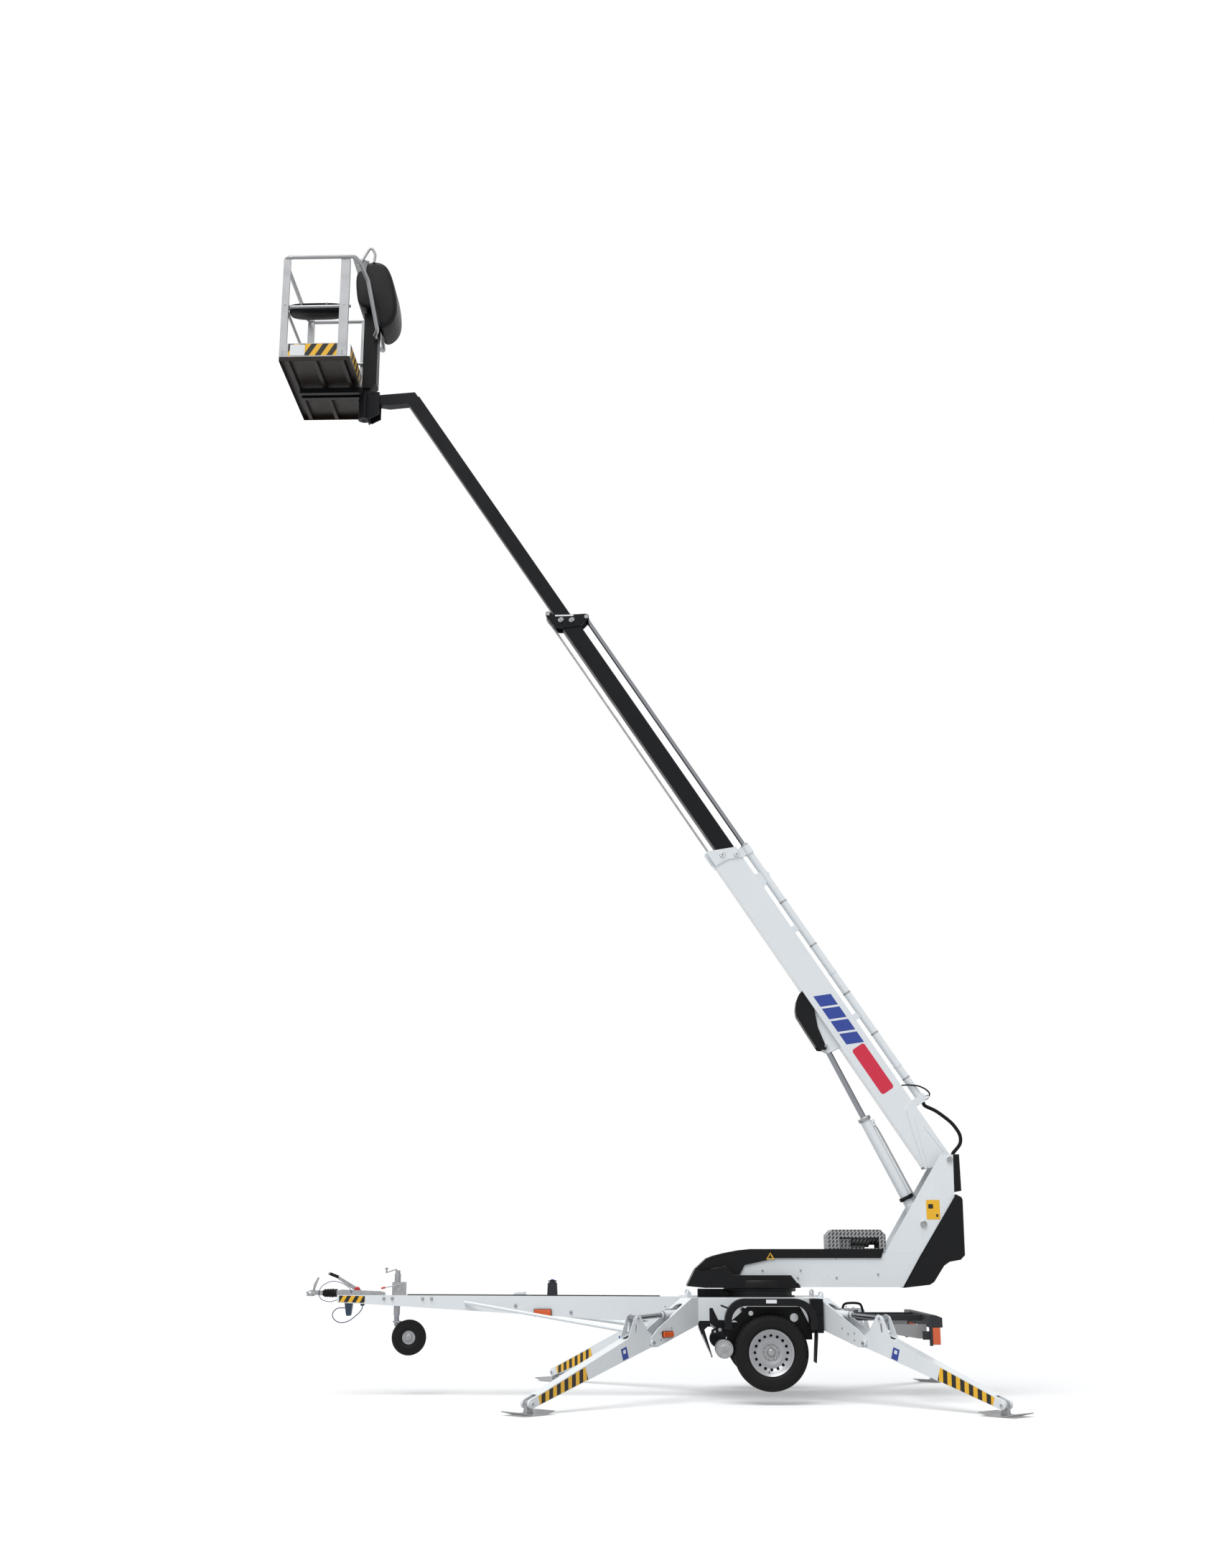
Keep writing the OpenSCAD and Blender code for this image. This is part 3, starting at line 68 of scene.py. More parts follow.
import json
import math
import bmesh
import bpy
import numpy as np
from mathutils import Vector

# Towable boom lift on its outriggers: finishes, decals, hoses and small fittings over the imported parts.
# X runs to the rear of the trailer, Y to its right-hand side, Z up; metres throughout.

print("stage: camera and light")

place = {"slewX": 1.34025, "chassisX": -0.070, "boomAngle": 56.8, "pivotX": 1.735, "pivotZ": 2.058,
         "levelX": -3.81507, "levelZ": 9.86185, "floorRise": 0.117}

shot = {"spot": (-0.880, -16.455, 1.255), "tilt": 14.975, "yaw": 1.739, "lens": 40.05}


def makeCamera():
    data = bpy.data.cameras.new("photoCamera")
    data.lens = shot["lens"]
    data.sensor_width = 36.0
    data.clip_end = 400.0
    camera = bpy.data.objects.new("photoCamera", data)
    camera.location = (shot["spot"][0] + place["slewX"], shot["spot"][1], shot["spot"][2])
    camera.rotation_euler = (math.radians(90 + shot["tilt"]), 0, math.radians(shot["yaw"]))
    bpy.context.scene.collection.objects.link(camera)
    bpy.context.scene.camera = camera


makeCamera()
bpy.context.scene.view_settings.view_transform = "Standard"

studio = {"worldLight": 0.42, "sunPower": 2.5, "sunFrom": (-0.26, -0.50, 1.0), "sunSpread": 44.0,
          "floorColor": (0.70, 0.705, 0.71, 1.0), "floorGlow": 0.255}



# A node with its settings; each input is a number, a colour or another node's socket
def addNode(tree, kind, inputs=None, **settings):
    node = tree.nodes.new("ShaderNode" + kind)
    for label, value in settings.items():
        setattr(node, label, value)
    for label, value in (inputs or {}).items():
        if isinstance(value, bpy.types.NodeSocket):
            tree.links.new(value, node.inputs[label])
        else:
            node.inputs[label].default_value = value
    return node


def mathOut(tree, operation, a, b, clamp=False):
    return addNode(tree, "Math", {0: a, 1: b}, operation=operation, use_clamp=clamp).outputs[0]


def makeStudio():
    world = bpy.data.worlds.new("studioWorld")
    bpy.context.scene.world = world
    world.use_nodes = True
    tree = world.node_tree
    tree.nodes.clear()
    light = addNode(tree, "Background", {"Color": (0.96, 0.98, 1.0, 1.0), "Strength": studio["worldLight"]})
    seen = addNode(tree, "Background", {"Color": (1, 1, 1, 1), "Strength": 1.0})
    path = addNode(tree, "LightPath").outputs
    mirrored = mathOut(tree, "MAXIMUM", path["Is Glossy Ray"], path["Is Transmission Ray"])
    either = mathOut(tree, "MAXIMUM", path["Is Camera Ray"], mirrored)
    mixed = addNode(tree, "MixShader", {0: either, 1: light.outputs[0], 2: seen.outputs[0]})
    addNode(tree, "OutputWorld", {0: mixed.outputs[0]})

    data = bpy.data.lights.new("sunLamp", "SUN")
    data.energy = studio["sunPower"]
    data.angle = math.radians(studio["sunSpread"])
    lamp = bpy.data.objects.new("sunLamp", data)
    lamp.rotation_euler = Vector(studio["sunFrom"]).to_track_quat("Z", "Y").to_euler()
    bpy.context.scene.collection.objects.link(lamp)

    mesh = bpy.data.meshes.new("studioFloor")
    r, low = 120.0, -0.001
    mesh.from_pydata([(-r, -r, low), (r, -r, low), (r, r, low), (-r, r, low)], [], [(0, 1, 2, 3)])
    floor = bpy.data.objects.new("studioFloor", mesh)
    bpy.context.scene.collection.objects.link(floor)
    material = bpy.data.materials.new("paleFloor")
    material.use_nodes = True
    tree = material.node_tree
    tree.nodes.clear()
    matt = addNode(tree, "BsdfDiffuse", {"Color": studio["floorColor"]})
    glow = addNode(tree, "Emission", {"Strength": studio["floorGlow"]})
    both = addNode(tree, "AddShader", {0: matt.outputs[0], 1: glow.outputs[0]})
    path = addNode(tree, "LightPath").outputs
    looked = mathOut(tree, "MAXIMUM", path["Is Camera Ray"], path["Is Glossy Ray"])
    choose = addNode(tree, "MixShader", {0: looked, 1: matt.outputs[0], 2: both.outputs[0]})
    addNode(tree, "OutputMaterial", {0: choose.outputs[0]})
    mesh.materials.append(material)


makeStudio()

print("stage: finishes")


# A node group: inputs are numbers or colours by name, outputs are the kinds of its sockets
def newGroup(name, inputs, outputs):
    tree = bpy.data.node_groups.new(name, "ShaderNodeTree")
    for label, value in inputs.items():
        kind = "NodeSocketColor" if isinstance(value, tuple) else "NodeSocketFloat"
        tree.interface.new_socket(name=label, in_out="INPUT", socket_type=kind).default_value = value
    for label, kind in outputs.items():
        tree.interface.new_socket(name=label, in_out="OUTPUT", socket_type="NodeSocket" + kind)
    return tree, tree.nodes.new("NodeGroupInput").outputs, tree.nodes.new("NodeGroupOutput").inputs


def axesOut(tree, source):
    return addNode(tree, "SeparateXYZ", {0: source}).outputs


def objectSpot(tree):
    return addNode(tree, "TexCoord").outputs["Object"]


def noiseOut(tree, scale, detail=3.0, roughness=0.5):
    inputs = {"Vector": objectSpot(tree), "Scale": scale, "Detail": detail, "Roughness": roughness}
    return addNode(tree, "TexNoise", inputs).outputs["Fac"]


def rampOut(tree, source, stops):
    node = addNode(tree, "ValToRGB", {"Fac": source})
    for element, (spot, grey) in zip(node.color_ramp.elements, stops):
        element.position, element.color = spot, (grey, grey, grey, 1)
    return node.outputs["Color"]


# Last step of a group: colour b laid over colour a where the mask is 1, and the mask itself
def finishMix(tree, gout, mask, a, b):
    mix = addNode(tree, "Mix", {0: mask, 6: a, 7: b}, data_type="RGBA")
    tree.links.new(mix.outputs[2], gout["Color"])
    tree.links.new(mask, gout["Mask"])
    return tree


# Last step of a group: the colour made 1 + gain (value - 0.5) spread times as bright, and the value itself
def finishShade(tree, gin, gout, value, gain):
    spread = mathOut(tree, "MULTIPLY", mathOut(tree, "SUBTRACT", value, 0.5), gin["Spread"])
    level = mathOut(tree, "ADD", mathOut(tree, "MULTIPLY", spread, gain), 1.0)
    shade = addNode(tree, "HueSaturation", {"Color": gin["Color"], "Value": level})
    tree.links.new(shade.outputs["Color"], gout["Color"])
    tree.links.new(value, gout["Value"])
    return tree


# Road dust: more of it low down and on faces that look up, broken up by two noises
def buildDustGroup():
    tree, gin, gout = newGroup("roadDust", {"Clean Color": (0.8, 0.8, 0.8, 1), "Dust Color": (0.24, 0.22, 0.20, 1),
                                            "Amount": 0.3, "Reach": 0.9}, {"Color": "Color", "Mask": "Float"})
    low = mathOut(tree, "DIVIDE", axesOut(tree, objectSpot(tree))["Z"], gin["Reach"])
    lowness = mathOut(tree, "SUBTRACT", 1.0, low, True)
    facing = axesOut(tree, addNode(tree, "NewGeometry").outputs["Normal"])
    upward = mathOut(tree, "MULTIPLY", facing["Z"], 0.35, True)
    mask = mathOut(tree, "ADD", lowness, upward)
    for scale, detail, roughness, stops in ((2.3, 4.0, 0.5, [(0.38, 0.15), (0.68, 1.0)]),
                                            (46.0, 5.0, 0.65, [(0.35, 0.35), (0.7, 1.0)])):
        patches = rampOut(tree, noiseOut(tree, scale, detail, roughness), stops)
        mask = mathOut(tree, "MULTIPLY", mask, patches)
    mask = mathOut(tree, "MULTIPLY", mask, gin["Amount"], True)
    return finishMix(tree, gout, mask, gin["Clean Color"], gin["Dust Color"])


# Colour that drifts a little lighter and darker across a surface
def buildToneGroup():
    tree, gin, gout = newGroup("toneDrift", {"Color": (0.8, 0.8, 0.8, 1), "Spread": 0.08, "Scale": 5.0},
                               {"Color": "Color", "Value": "Float"})
    return finishShade(tree, gin, gout, noiseOut(tree, gin["Scale"], 4.0, 0.6), 2.0)


# Surface relief: fine grain, such as moulded plastic or orange peel in paint, as a bumped normal
def buildGrainGroup():
    tree, gin, gout = newGroup("surfaceGrain", {"Scale": 220.0, "Strength": 0.2, "Distance": 0.0006},
                               {"Normal": "Vector", "Value": "Float"})
    grain = noiseOut(tree, gin["Scale"], 3.0, 0.6)
    bump = addNode(tree, "Bump", {"Strength": gin["Strength"], "Distance": gin["Distance"], "Height": grain})
    tree.links.new(bump.outputs["Normal"], gout["Normal"])
    tree.links.new(grain, gout["Value"])
    return tree


# Crystal spangle of hot-dip zinc: voronoi cells, each of its own grey
def buildSpangleGroup():
    tree, gin, gout = newGroup("zincSpangle", {"Color": (0.6, 0.6, 0.62, 1), "Scale": 60.0, "Spread": 0.25},
                               {"Color": "Color", "Value": "Float"})
    cells = addNode(tree, "TexVoronoi", {"Vector": objectSpot(tree), "Scale": gin["Scale"]})
    grey = addNode(tree, "SeparateColor", {0: cells.outputs["Color"]}).outputs[0]
    return finishShade(tree, gin, gout, grey, 1.0)


# Perforated sheet: round near-black dots on a square lattice over (x + y, z + y - x), so that no face shows bare
# lines; the dots are painted shade for the dark inside seen through the holes
def buildHoleShadeGroup():
    tree, gin, gout = newGroup("perforatedSheet", {"Sheet Color": (0.3, 0.3, 0.3, 1), "Color": (0.02, 0.02, 0.02, 1),
                                                   "Scale": 40.0}, {"Color": "Color", "Mask": "Float"})
    x, y, z = axesOut(tree, objectSpot(tree))
    up = mathOut(tree, "ADD", z, mathOut(tree, "SUBTRACT", y, x))
    flat = addNode(tree, "CombineXYZ", {0: mathOut(tree, "ADD", x, y), 1: up}).outputs[0]
    cells = addNode(tree, "TexVoronoi", voronoi_dimensions="2D")
    for label, value in (("Vector", flat), ("Scale", gin["Scale"])):
        tree.links.new(value, cells.inputs[label])
    cells.inputs["Randomness"].default_value = 0.0
    mask = mathOut(tree, "LESS_THAN", cells.outputs["Distance"], 0.33)
    return finishMix(tree, gout, mask, gin["Sheet Color"], gin["Color"])


dustGroup, toneGroup, grainGroup = buildDustGroup(), buildToneGroup(), buildGrainGroup()
spangleGroup, holeShadeGroup = buildSpangleGroup(), buildHoleShadeGroup()

finishes = {
    "whitePaint": {"color": (0.74, 0.775, 0.80), "rough": (0.24, 0.36), "coat": 0.3, "tone": 0.02,
                   "grain": (350, 0.05), "dust": 0.12},
    "blackPaint": {"color": (0.0045, 0.005, 0.007), "rough": (0.34, 0.48), "spec": 0.16, "tone": 0.2,
                   "grain": (300, 0.08), "dust": 0.012},
    "darkSteel": {"color": (0.022, 0.024, 0.028), "rough": (0.42, 0.6), "spec": 0.25, "tone": 0.2,
                  "grain": (240, 0.15), "dust": 0.06},
    "blackPlastic": {"color": (0.0045, 0.0048, 0.0056), "rough": (0.36, 0.50), "spec": 0.18, "tone": 0.2,
                     "grain": (420, 0.30), "dust": 0.012},
    "greyPlastic": {"color": (0.030, 0.060, 0.105), "rough": (0.40, 0.55), "spec": 0.4, "tone": 0.12,
                    "grain": (380, 0.25), "dust": 0.08},
    "zinc": {"color": (0.34, 0.345, 0.355), "rough": (0.34, 0.52), "metal": 0.85, "spangle": 55.0,
             "grain": (150, 0.10), "dust": 0.12},
    "wheelSilver": {"color": (0.34, 0.345, 0.36), "rough": (0.30, 0.44), "coat": 0.2, "metal": 0.45, "tone": 0.08,
                    "grain": (400, 0.08), "dust": 0.06},
    "chrome": {"color": (0.26, 0.27, 0.29), "rough": (0.10, 0.18), "metal": 1.0, "tone": 0.05, "grain": (90, 0.02),
               "dust": 0.03},
    "aluminium": {"color": (0.33, 0.335, 0.345), "rough": (0.30, 0.46), "metal": 0.80, "tone": 0.08,
                  "grain": (500, 0.12), "dust": 0.04},
    "rubber": {"color": (0.006, 0.006, 0.0065), "rough": (0.55, 0.75), "spec": 0.16, "tone": 0.25,
               "grain": (160, 0.35), "dust": 0.035},
    "blueCable": {"color": (0.010, 0.022, 0.085), "rough": (0.40, 0.52), "spec": 0.35, "tone": 0.15,
                  "grain": (600, 0.15), "dust": 0.05},
    "amberLens": {"color": (0.72, 0.10, 0.006), "rough": (0.12, 0.24), "coat": 0.5, "tone": 0.10,
                  "grain": (700, 0.12), "dust": 0.06},
    "ballastIron": {"color": (0.06, 0.06, 0.064), "rough": (0.55, 0.75), "tone": 0.25, "grain": (90, 0.5),
                    "dust": 0.15},
    "greySheet": {"color": (0.30, 0.305, 0.31), "rough": (0.38, 0.52), "metal": 0.35, "tone": 0.08,
                  "grain": (260, 0.10), "dust": 0.08},
    "meshSheet": {"color": (0.30, 0.305, 0.31), "rough": (0.38, 0.52), "metal": 0.35, "tone": 0.08,
                  "grain": (260, 0.10), "dust": 0.04, "holes": 30.0},
    "signYellow": {"color": (0.83, 0.45, 0.008), "rough": (0.30, 0.42), "coat": 0.2, "tone": 0.04,
                   "grain": (400, 0.05), "dust": 0.08},
    "stripeBlack": {"color": (0.010, 0.009, 0.009), "rough": (0.34, 0.46), "spec": 0.35, "tone": 0.10,
                    "grain": (400, 0.05), "dust": 0.06},
    "labelBlue": {"color": (0.012, 0.045, 0.30), "rough": (0.28, 0.40), "coat": 0.2, "tone": 0.05,
                  "grain": (400, 0.05), "dust": 0.05},
    "decalRed": {"color": (0.62, 0.008, 0.045), "rough": (0.26, 0.36), "coat": 0.2, "tone": 0.05,
                 "grain": (400, 0.04), "dust": 0.03},
    "labelWhite": {"color": (0.76, 0.78, 0.80), "rough": (0.34, 0.46), "coat": 0.1, "tone": 0.04,
                   "grain": (400, 0.05), "dust": 0.05},
    "redGrip": {"color": (0.50, 0.014, 0.016), "rough": (0.34, 0.48), "coat": 0.1, "tone": 0.08, "grain": (300, 0.12),
                "dust": 0.06},
    "floorBoard": {"color": (0.012, 0.008, 0.006), "rough": (0.34, 0.50), "spec": 0.2, "tone": 0.25,
                   "grain": (60, 0.10), "dust": 0.02},
}


# One material from a finish: tone or spangle, then dust over it, a broken roughness and a grain normal
def makeMaterial(name, f):
    material = bpy.data.materials.new(name)
    material.use_nodes = True
    tree = material.node_tree
    color = (*f["color"], 1.0)
    if "spangle" in f:
        base = addNode(tree, "Group", node_tree=spangleGroup)
        values = {"Color": color, "Scale": f["spangle"], "Spread": 0.22}
    else:
        base = addNode(tree, "Group", node_tree=toneGroup)
        values = {"Color": color, "Spread": f["tone"], "Scale": 4.0}
    for label, value in values.items():
        base.inputs[label].default_value = value
    clean = base.outputs["Color"]
    # Near-black dots laid on the sheet: painted shade standing in for the dark inside seen through its holes
    if "holes" in f:
        holes = addNode(tree, "Group", {"Sheet Color": clean, "Scale": f["holes"], "Color": (0.02, 0.02, 0.022, 1.0)},
                        node_tree=holeShadeGroup)
        clean = holes.outputs["Color"]
    dust = addNode(tree, "Group", {"Clean Color": clean, "Amount": f["dust"], "Reach": 1.1}, node_tree=dustGroup)
    low, high = f["rough"]
    rough = addNode(tree, "MapRange", {"Value": base.outputs["Value"], "From Min": 0.3, "From Max": 0.7,
                                       "To Min": low, "To Max": high})
    dusty = mathOut(tree, "MULTIPLY", dust.outputs["Mask"], 0.4)
    total = mathOut(tree, "ADD", rough.outputs[0], dusty, True)
    scale, strength = f["grain"]
    grain = addNode(tree, "Group", {"Scale": float(scale), "Strength": strength}, node_tree=grainGroup)
    shader = tree.nodes["Principled BSDF"]
    for label, socket in (("Base Color", dust.outputs["Color"]), ("Roughness", total),
                          ("Normal", grain.outputs["Normal"])):
        tree.links.new(socket, shader.inputs[label])
    for label, value in (("Metallic", f.get("metal", 0.0)), ("Coat Weight", f.get("coat", 0.0)),
                         ("Coat Roughness", 0.12),
                         ("Specular IOR Level", f.get("spec", 0.5))):
        shader.inputs[label].default_value = value
    return material


paint = {name: makeMaterial(name, f) for name, f in finishes.items()}


# white_paint becomes whitePaint; a capital first letter makes leg_front_left into LegFrontLeft
def camelCase(name, capital=False):
    first, *rest = name.split("_")
    return (first.title() if capital else first) + "".join(word.title() for word in rest)


nodeFinish = {"motor_guard": "meshSheet", "pull_chain": "zinc", "basket_floor": "floorBoard",
              "telescope_tube": "whitePaint"}

for part in frame["record"]["subparts"]:
    node = frame["nodes"][part["node"]]
    node.data.materials.clear()
    node.data.materials.append(paint[nodeFinish.get(part["node"], camelCase(part["material_slot"]))])

print("stage: shape tools")


def turnAbout(axis, degrees):
    c, s = math.cos(math.radians(degrees)), math.sin(math.radians(degrees))
    if axis == "y":
        return np.array([[c, 0, s], [0, 1, 0], [-s, 0, c]])
    return np.array([[c, -s, 0], [s, c, 0], [0, 0, 1]])


# A frame is an origin and three axes as columns; the part's own frames are repeated here in metres
slewFrame = (np.array([place["slewX"], 0, 0]), np.eye(3))
boomFrame = (np.array([place["slewX"] + place["pivotX"], 0, place["pivotZ"]]),
             turnAbout("z", 180) @ turnAbout("y", -place["boomAngle"]))
basketFrame = (np.array([place["slewX"] + place["levelX"], 0, place["levelZ"]]), np.eye(3))

legs = {"hingeX": 0.940, "hingeY": 0.870, "hingeZ": 0.500, "spread": 47.0, "length": 1.436, "pinRise": 0.085,
        "width": 0.100,
        "ramBase": (-0.545, 0.240), "ramEar": (0.105, 0.241)}
legSlope = math.degrees(math.asin((legs["hingeZ"] - legs["pinRise"]) / legs["length"]))
corners = {"front_left": (-1, -1), "front_right": (-1, 1), "rear_left": (1, -1), "rear_right": (1, 1)}


def armFrame(corner):
    a, b = corners[corner]
    s, c = math.sin(math.radians(legs["spread"])), math.cos(math.radians(legs["spread"]))
    origin = np.array([place["slewX"] + place["chassisX"] + a * legs["hingeX"], b * legs["hingeY"], legs["hingeZ"]])
    return origin, turnAbout("z", math.degrees(math.atan2(b * s, a * c)))


def legFrame(corner):
    origin, axes = armFrame(corner)
    return origin, axes @ turnAbout("y", legSlope)


def movedFrame(frame, shift, axis="y", degrees=0.0):
    origin, axes = frame
    return origin + axes @ np.array(shift, float), axes @ turnAbout(axis, degrees)


def put(frame, points):
    return frame[0] + np.asarray(points, float) @ frame[1].T


# A frame's own direction (x, y, z) in the shared axes
def aim(frame, *axis):
    return frame[1] @ np.array(axis, float)


liftFoot, liftPin = np.array([1.475, 1.487]), (1.456, -0.325)
liftTop = put(boomFrame, (liftPin[0], 0, liftPin[1]))
liftRun = np.array([liftTop[0] - place["slewX"] - liftFoot[0], liftTop[2] - liftFoot[1]])
liftFrame = (np.array([place["slewX"] + liftFoot[0], 0, liftFoot[1]]),
             turnAbout("z", 180) @ turnAbout("y", -math.degrees(math.atan2(liftRun[1], -liftRun[0]))))
alongBoom, alongLift = aim(boomFrame, 1, 0, 0), aim(liftFrame, 1, 0, 0)


# Circle carried along a path: ring points are path + r (cos t u + sin t v), u square to the path and to ref
def tubeAlong(path, radius, sides=14, ref=(0, 1, 0)):
    path = np.asarray(path, float)
    steps = np.gradient(path, axis=0)
    t = steps / np.linalg.norm(steps, axis=1)[:, None]
    u = np.cross(t, np.asarray(ref, float))
    u /= np.linalg.norm(u, axis=1)[:, None]
    v = np.cross(t, u)
    turn = np.linspace(0, 2 * math.pi, sides, endpoint=False)
    radius = np.broadcast_to(np.asarray(radius, float), (len(path),))
    rings = path[:, None] + radius[:, None, None] * (np.cos(turn)[None, :, None] * u[:, None] + np.sin(turn)[None, :,
            None] * v[:, None])
    return rings.reshape(-1, 3), wrapFaces(len(path), sides)


# Quads between rings of n points, the ends closed by one face each; closed joins the last ring to the first
def wrapFaces(rings, n, closed=False):
    i = np.arange(rings if closed else rings - 1)[:, None] * n
    j = np.arange(n)[None]
    k = (j + 1) % n
    total = rings * n
    quads = np.stack([(i + j) % total, (i + n + j) % total, (i + n + k) % total, (i + k) % total],
                     axis=-1).reshape(-1, 4).tolist()
    if closed:
        return quads
    return quads + [list(range(n)), list(range(total - 1, total - n - 1, -1))]


# Catmull-Rom curve through the points, in equal steps between neighbours
def smoothRoute(points, steps=6):
    p = np.asarray(points, float)
    q = np.vstack([p[:1], p, p[-1:]])
    t = np.linspace(0, 1, steps, endpoint=False)[None, :, None]
    a, b, c, d = (q[i:i + len(p) - 1][:, None] for i in range(4))
    curve = 0.5 * (2 * b + (c - a) * t + (2 * a - 5 * b + 4 * c - d) * t ** 2 + (3 * b - a - 3 * c + d) * t ** 3)
    return np.vstack([curve.reshape(-1, 3), p[-1:]])


# Profile of (along, radius) turned about an axis through start; one that ends at its first radius is an open ring
def turned(start, axis, profile, sides=32):
    axis = np.asarray(axis, float) / np.linalg.norm(axis)
    side = np.cross(axis, (0, 0, 1)) if abs(axis[2]) < 0.9 else np.cross(axis, (1, 0, 0))
    side /= np.linalg.norm(side)
    up = np.cross(axis, side)
    profile = np.asarray(profile, float)
    turn = np.linspace(0, 2 * math.pi, sides, endpoint=False)
    rim = np.cos(turn)[:, None] * side + np.sin(turn)[:, None] * up
    rings = np.asarray(start, float) + profile[:, 0][:, None, None] * axis + profile[:, 1][:, None, None] * rim[None]
    hollow = profile[0, 1] == profile[-1, 1]
    return rings.reshape(-1, 3), [face[::-1] for face in wrapFaces(len(profile), sides, hollow)]


# Flat outline in a frame's x and z, given a thickness across y from y0 to y1
def slab(frame, outline, y0, y1):
    outline = np.asarray(outline, float)
    n = len(outline)
    area = np.sum(outline[:, 0] * np.roll(outline[:, 1], -1) - np.roll(outline[:, 0], -1) * outline[:, 1])
    if area < 0:
        outline = outline[::-1]
    low, high = min(y0, y1), max(y0, y1)
    points = np.concatenate([np.stack([outline[:, 0], np.full(n, y), outline[:, 1]], axis=1) for y in (low, high)])
    j = np.arange(n)
    k = (j + 1) % n
    faces = np.stack([j, k, k + n, j + n], axis=1).tolist() + [list(range(n)), list(range(2 * n - 1, n - 1, -1))]
    return put(frame, points), faces


# Rectangle with rounded corners, as an outline round its middle
def roundedRect(x, z, width, height, r, steps=5):
    turn = np.linspace(0, math.pi / 2, steps)
    arcs = [np.stack([cx * (width / 2 - r) + r * np.cos(turn + a), cz * (height / 2 - r) + r * np.sin(turn + a)],
                     axis=1)
            for cx, cz, a in ((1, 1, 0), (-1, 1, math.pi / 2), (-1, -1, math.pi), (1, -1, 1.5 * math.pi))]
    return np.vstack(arcs) + np.array([x, z])


def circleOutline(x, z, d, steps=24):
    turn = np.linspace(0, 2 * math.pi, steps, endpoint=False)
    return np.stack([x + d / 2 * np.cos(turn), z + d / 2 * np.sin(turn)], axis=1)


# Hexagon bolt head with its washer, standing on a surface
def boltHead(spot, axis, size=0.018):
    washer = turned(spot, axis, [(0, size * 0.75), (size * 0.12, size * 0.75), (size * 0.13, size * 0.70)], 16)
    head = turned(spot, axis, [(size * 0.12, size * 0.58), (size * 0.62, size * 0.58), (size * 0.72, size * 0.45)], 6)
    return [washer, head]


# One object from shapes that are lists of points and faces, grouped by finish
def makePiece(name, body, groups, bevel=0.0, sharp=38.0, segments=2, rides=True):
    mesh = bpy.data.meshes.new(name)
    points, faces, marks, base = [], [], [], 0
    for mark, (finish, shapes) in enumerate(groups.items()):
        mesh.materials.append(paint[finish])
        for shapePoints, shapeFaces in shapes:
            points.append(shapePoints)
            faces += [[base + i for i in face] for face in shapeFaces]
            marks += [mark] * len(shapeFaces)
            base += len(shapePoints)
    mesh.from_pydata(np.vstack(points).tolist(), [], faces)
    mesh.polygons.foreach_set("material_index", marks)
    mesh.validate()
    tool = bmesh.new()
    tool.from_mesh(mesh)
    bmesh.ops.recalc_face_normals(tool, faces=tool.faces)
    tool.to_mesh(mesh)
    tool.free()
    mesh.shade_smooth()
    mesh.set_sharp_from_angle(angle=math.radians(sharp))
    piece = bpy.data.objects.new(name, mesh)
    bpy.context.scene.collection.objects.link(piece)
    if bevel:
        addBevel(piece, bevel, segments)
    if rides:
        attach(piece, body)
    return piece


def addBevel(piece, width, segments=2, angle=32.0):
    edge = piece.modifiers.new("roundedEdges", "BEVEL")
    edge.width = width
    edge.segments = segments
    edge.limit_method = "ANGLE"
    edge.angle_limit = math.radians(angle)
    edge.harden_normals = True


# A part's own solid with its loose triangles merged, flat faces made whole and its edges rounded
def softEdged(nodeName, width, segments=2, finish=None):
    node = frame["nodes"][nodeName]
    mesh = node.data.copy()
    mesh.name = nodeName + "Rounded"
    tool = bmesh.new()
    tool.from_mesh(mesh)
    bmesh.ops.remove_doubles(tool, verts=tool.verts, dist=0.00003)
    bmesh.ops.dissolve_limit(tool, angle_limit=math.radians(0.5), use_dissolve_boundaries=False,
                             verts=tool.verts, edges=tool.edges, delimit={"NORMAL"})
    tool.to_mesh(mesh)
    tool.free()
    mesh.shade_smooth()
    mesh.set_sharp_from_angle(angle=math.radians(32))
    piece = bpy.data.objects.new(nodeName + "Rounded", mesh)
    bpy.context.scene.collection.objects.link(piece)
    if finish:
        mesh.materials.clear()
        mesh.materials.append(paint[finish])
    addBevel(piece, width, segments)
    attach(piece, node["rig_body"])
    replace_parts(piece, nodeName)
    return piece


print("stage: cables of the coupling")

cables = {"plug_cable": {"diameter": 0.008, "ref": (0, 1, 0), "route": [
    (-3.602, 0, .7697), (-3.602, 0, .766), (-3.602, 0, .760), (-3.608, -.006, .738), (-3.640, -.010, .700), (-3.720,
            -.012, .640),
    (-3.800, -.012, .625), (-3.860, -.010, .660), (-3.868, -.006, .710), (-3.830, -.003, .748), (-3.775, 0, .752),
    (-3.765, 0, .752), (-3.7563, 0, .752)]},
          "breakaway_cable": {"diameter": 0.006, "ref": (1, 1, 0), "route": [
    (-3.700, -.0333, .888), (-3.700, -.035, .888), (-3.700, -.040, .888), (-3.722, -.046, .930), (-3.790, -.050,
            .970),
    (-3.880, -.046, .985), (-3.960, -.040, .950), (-3.998, -.034, .890), (-3.975, -.030, .830), (-3.900, -.020, .806),
    (-3.845, -.006, .820), (-3.830, 0, .824), (-3.8203, 0, .824)]}}

for cableName, cable in cables.items():
    cablePath = smoothRoute(put(slewFrame, cable["route"]), 8)
    cablePiece = makePiece(cableName.replace("_", "") + "Cord", "chassis",
                           {"blueCable": [tubeAlong(cablePath, cable["diameter"] / 2, 12, cable["ref"])]}, sharp=60)
    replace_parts(cablePiece, cableName)

print("stage: rounded edges")

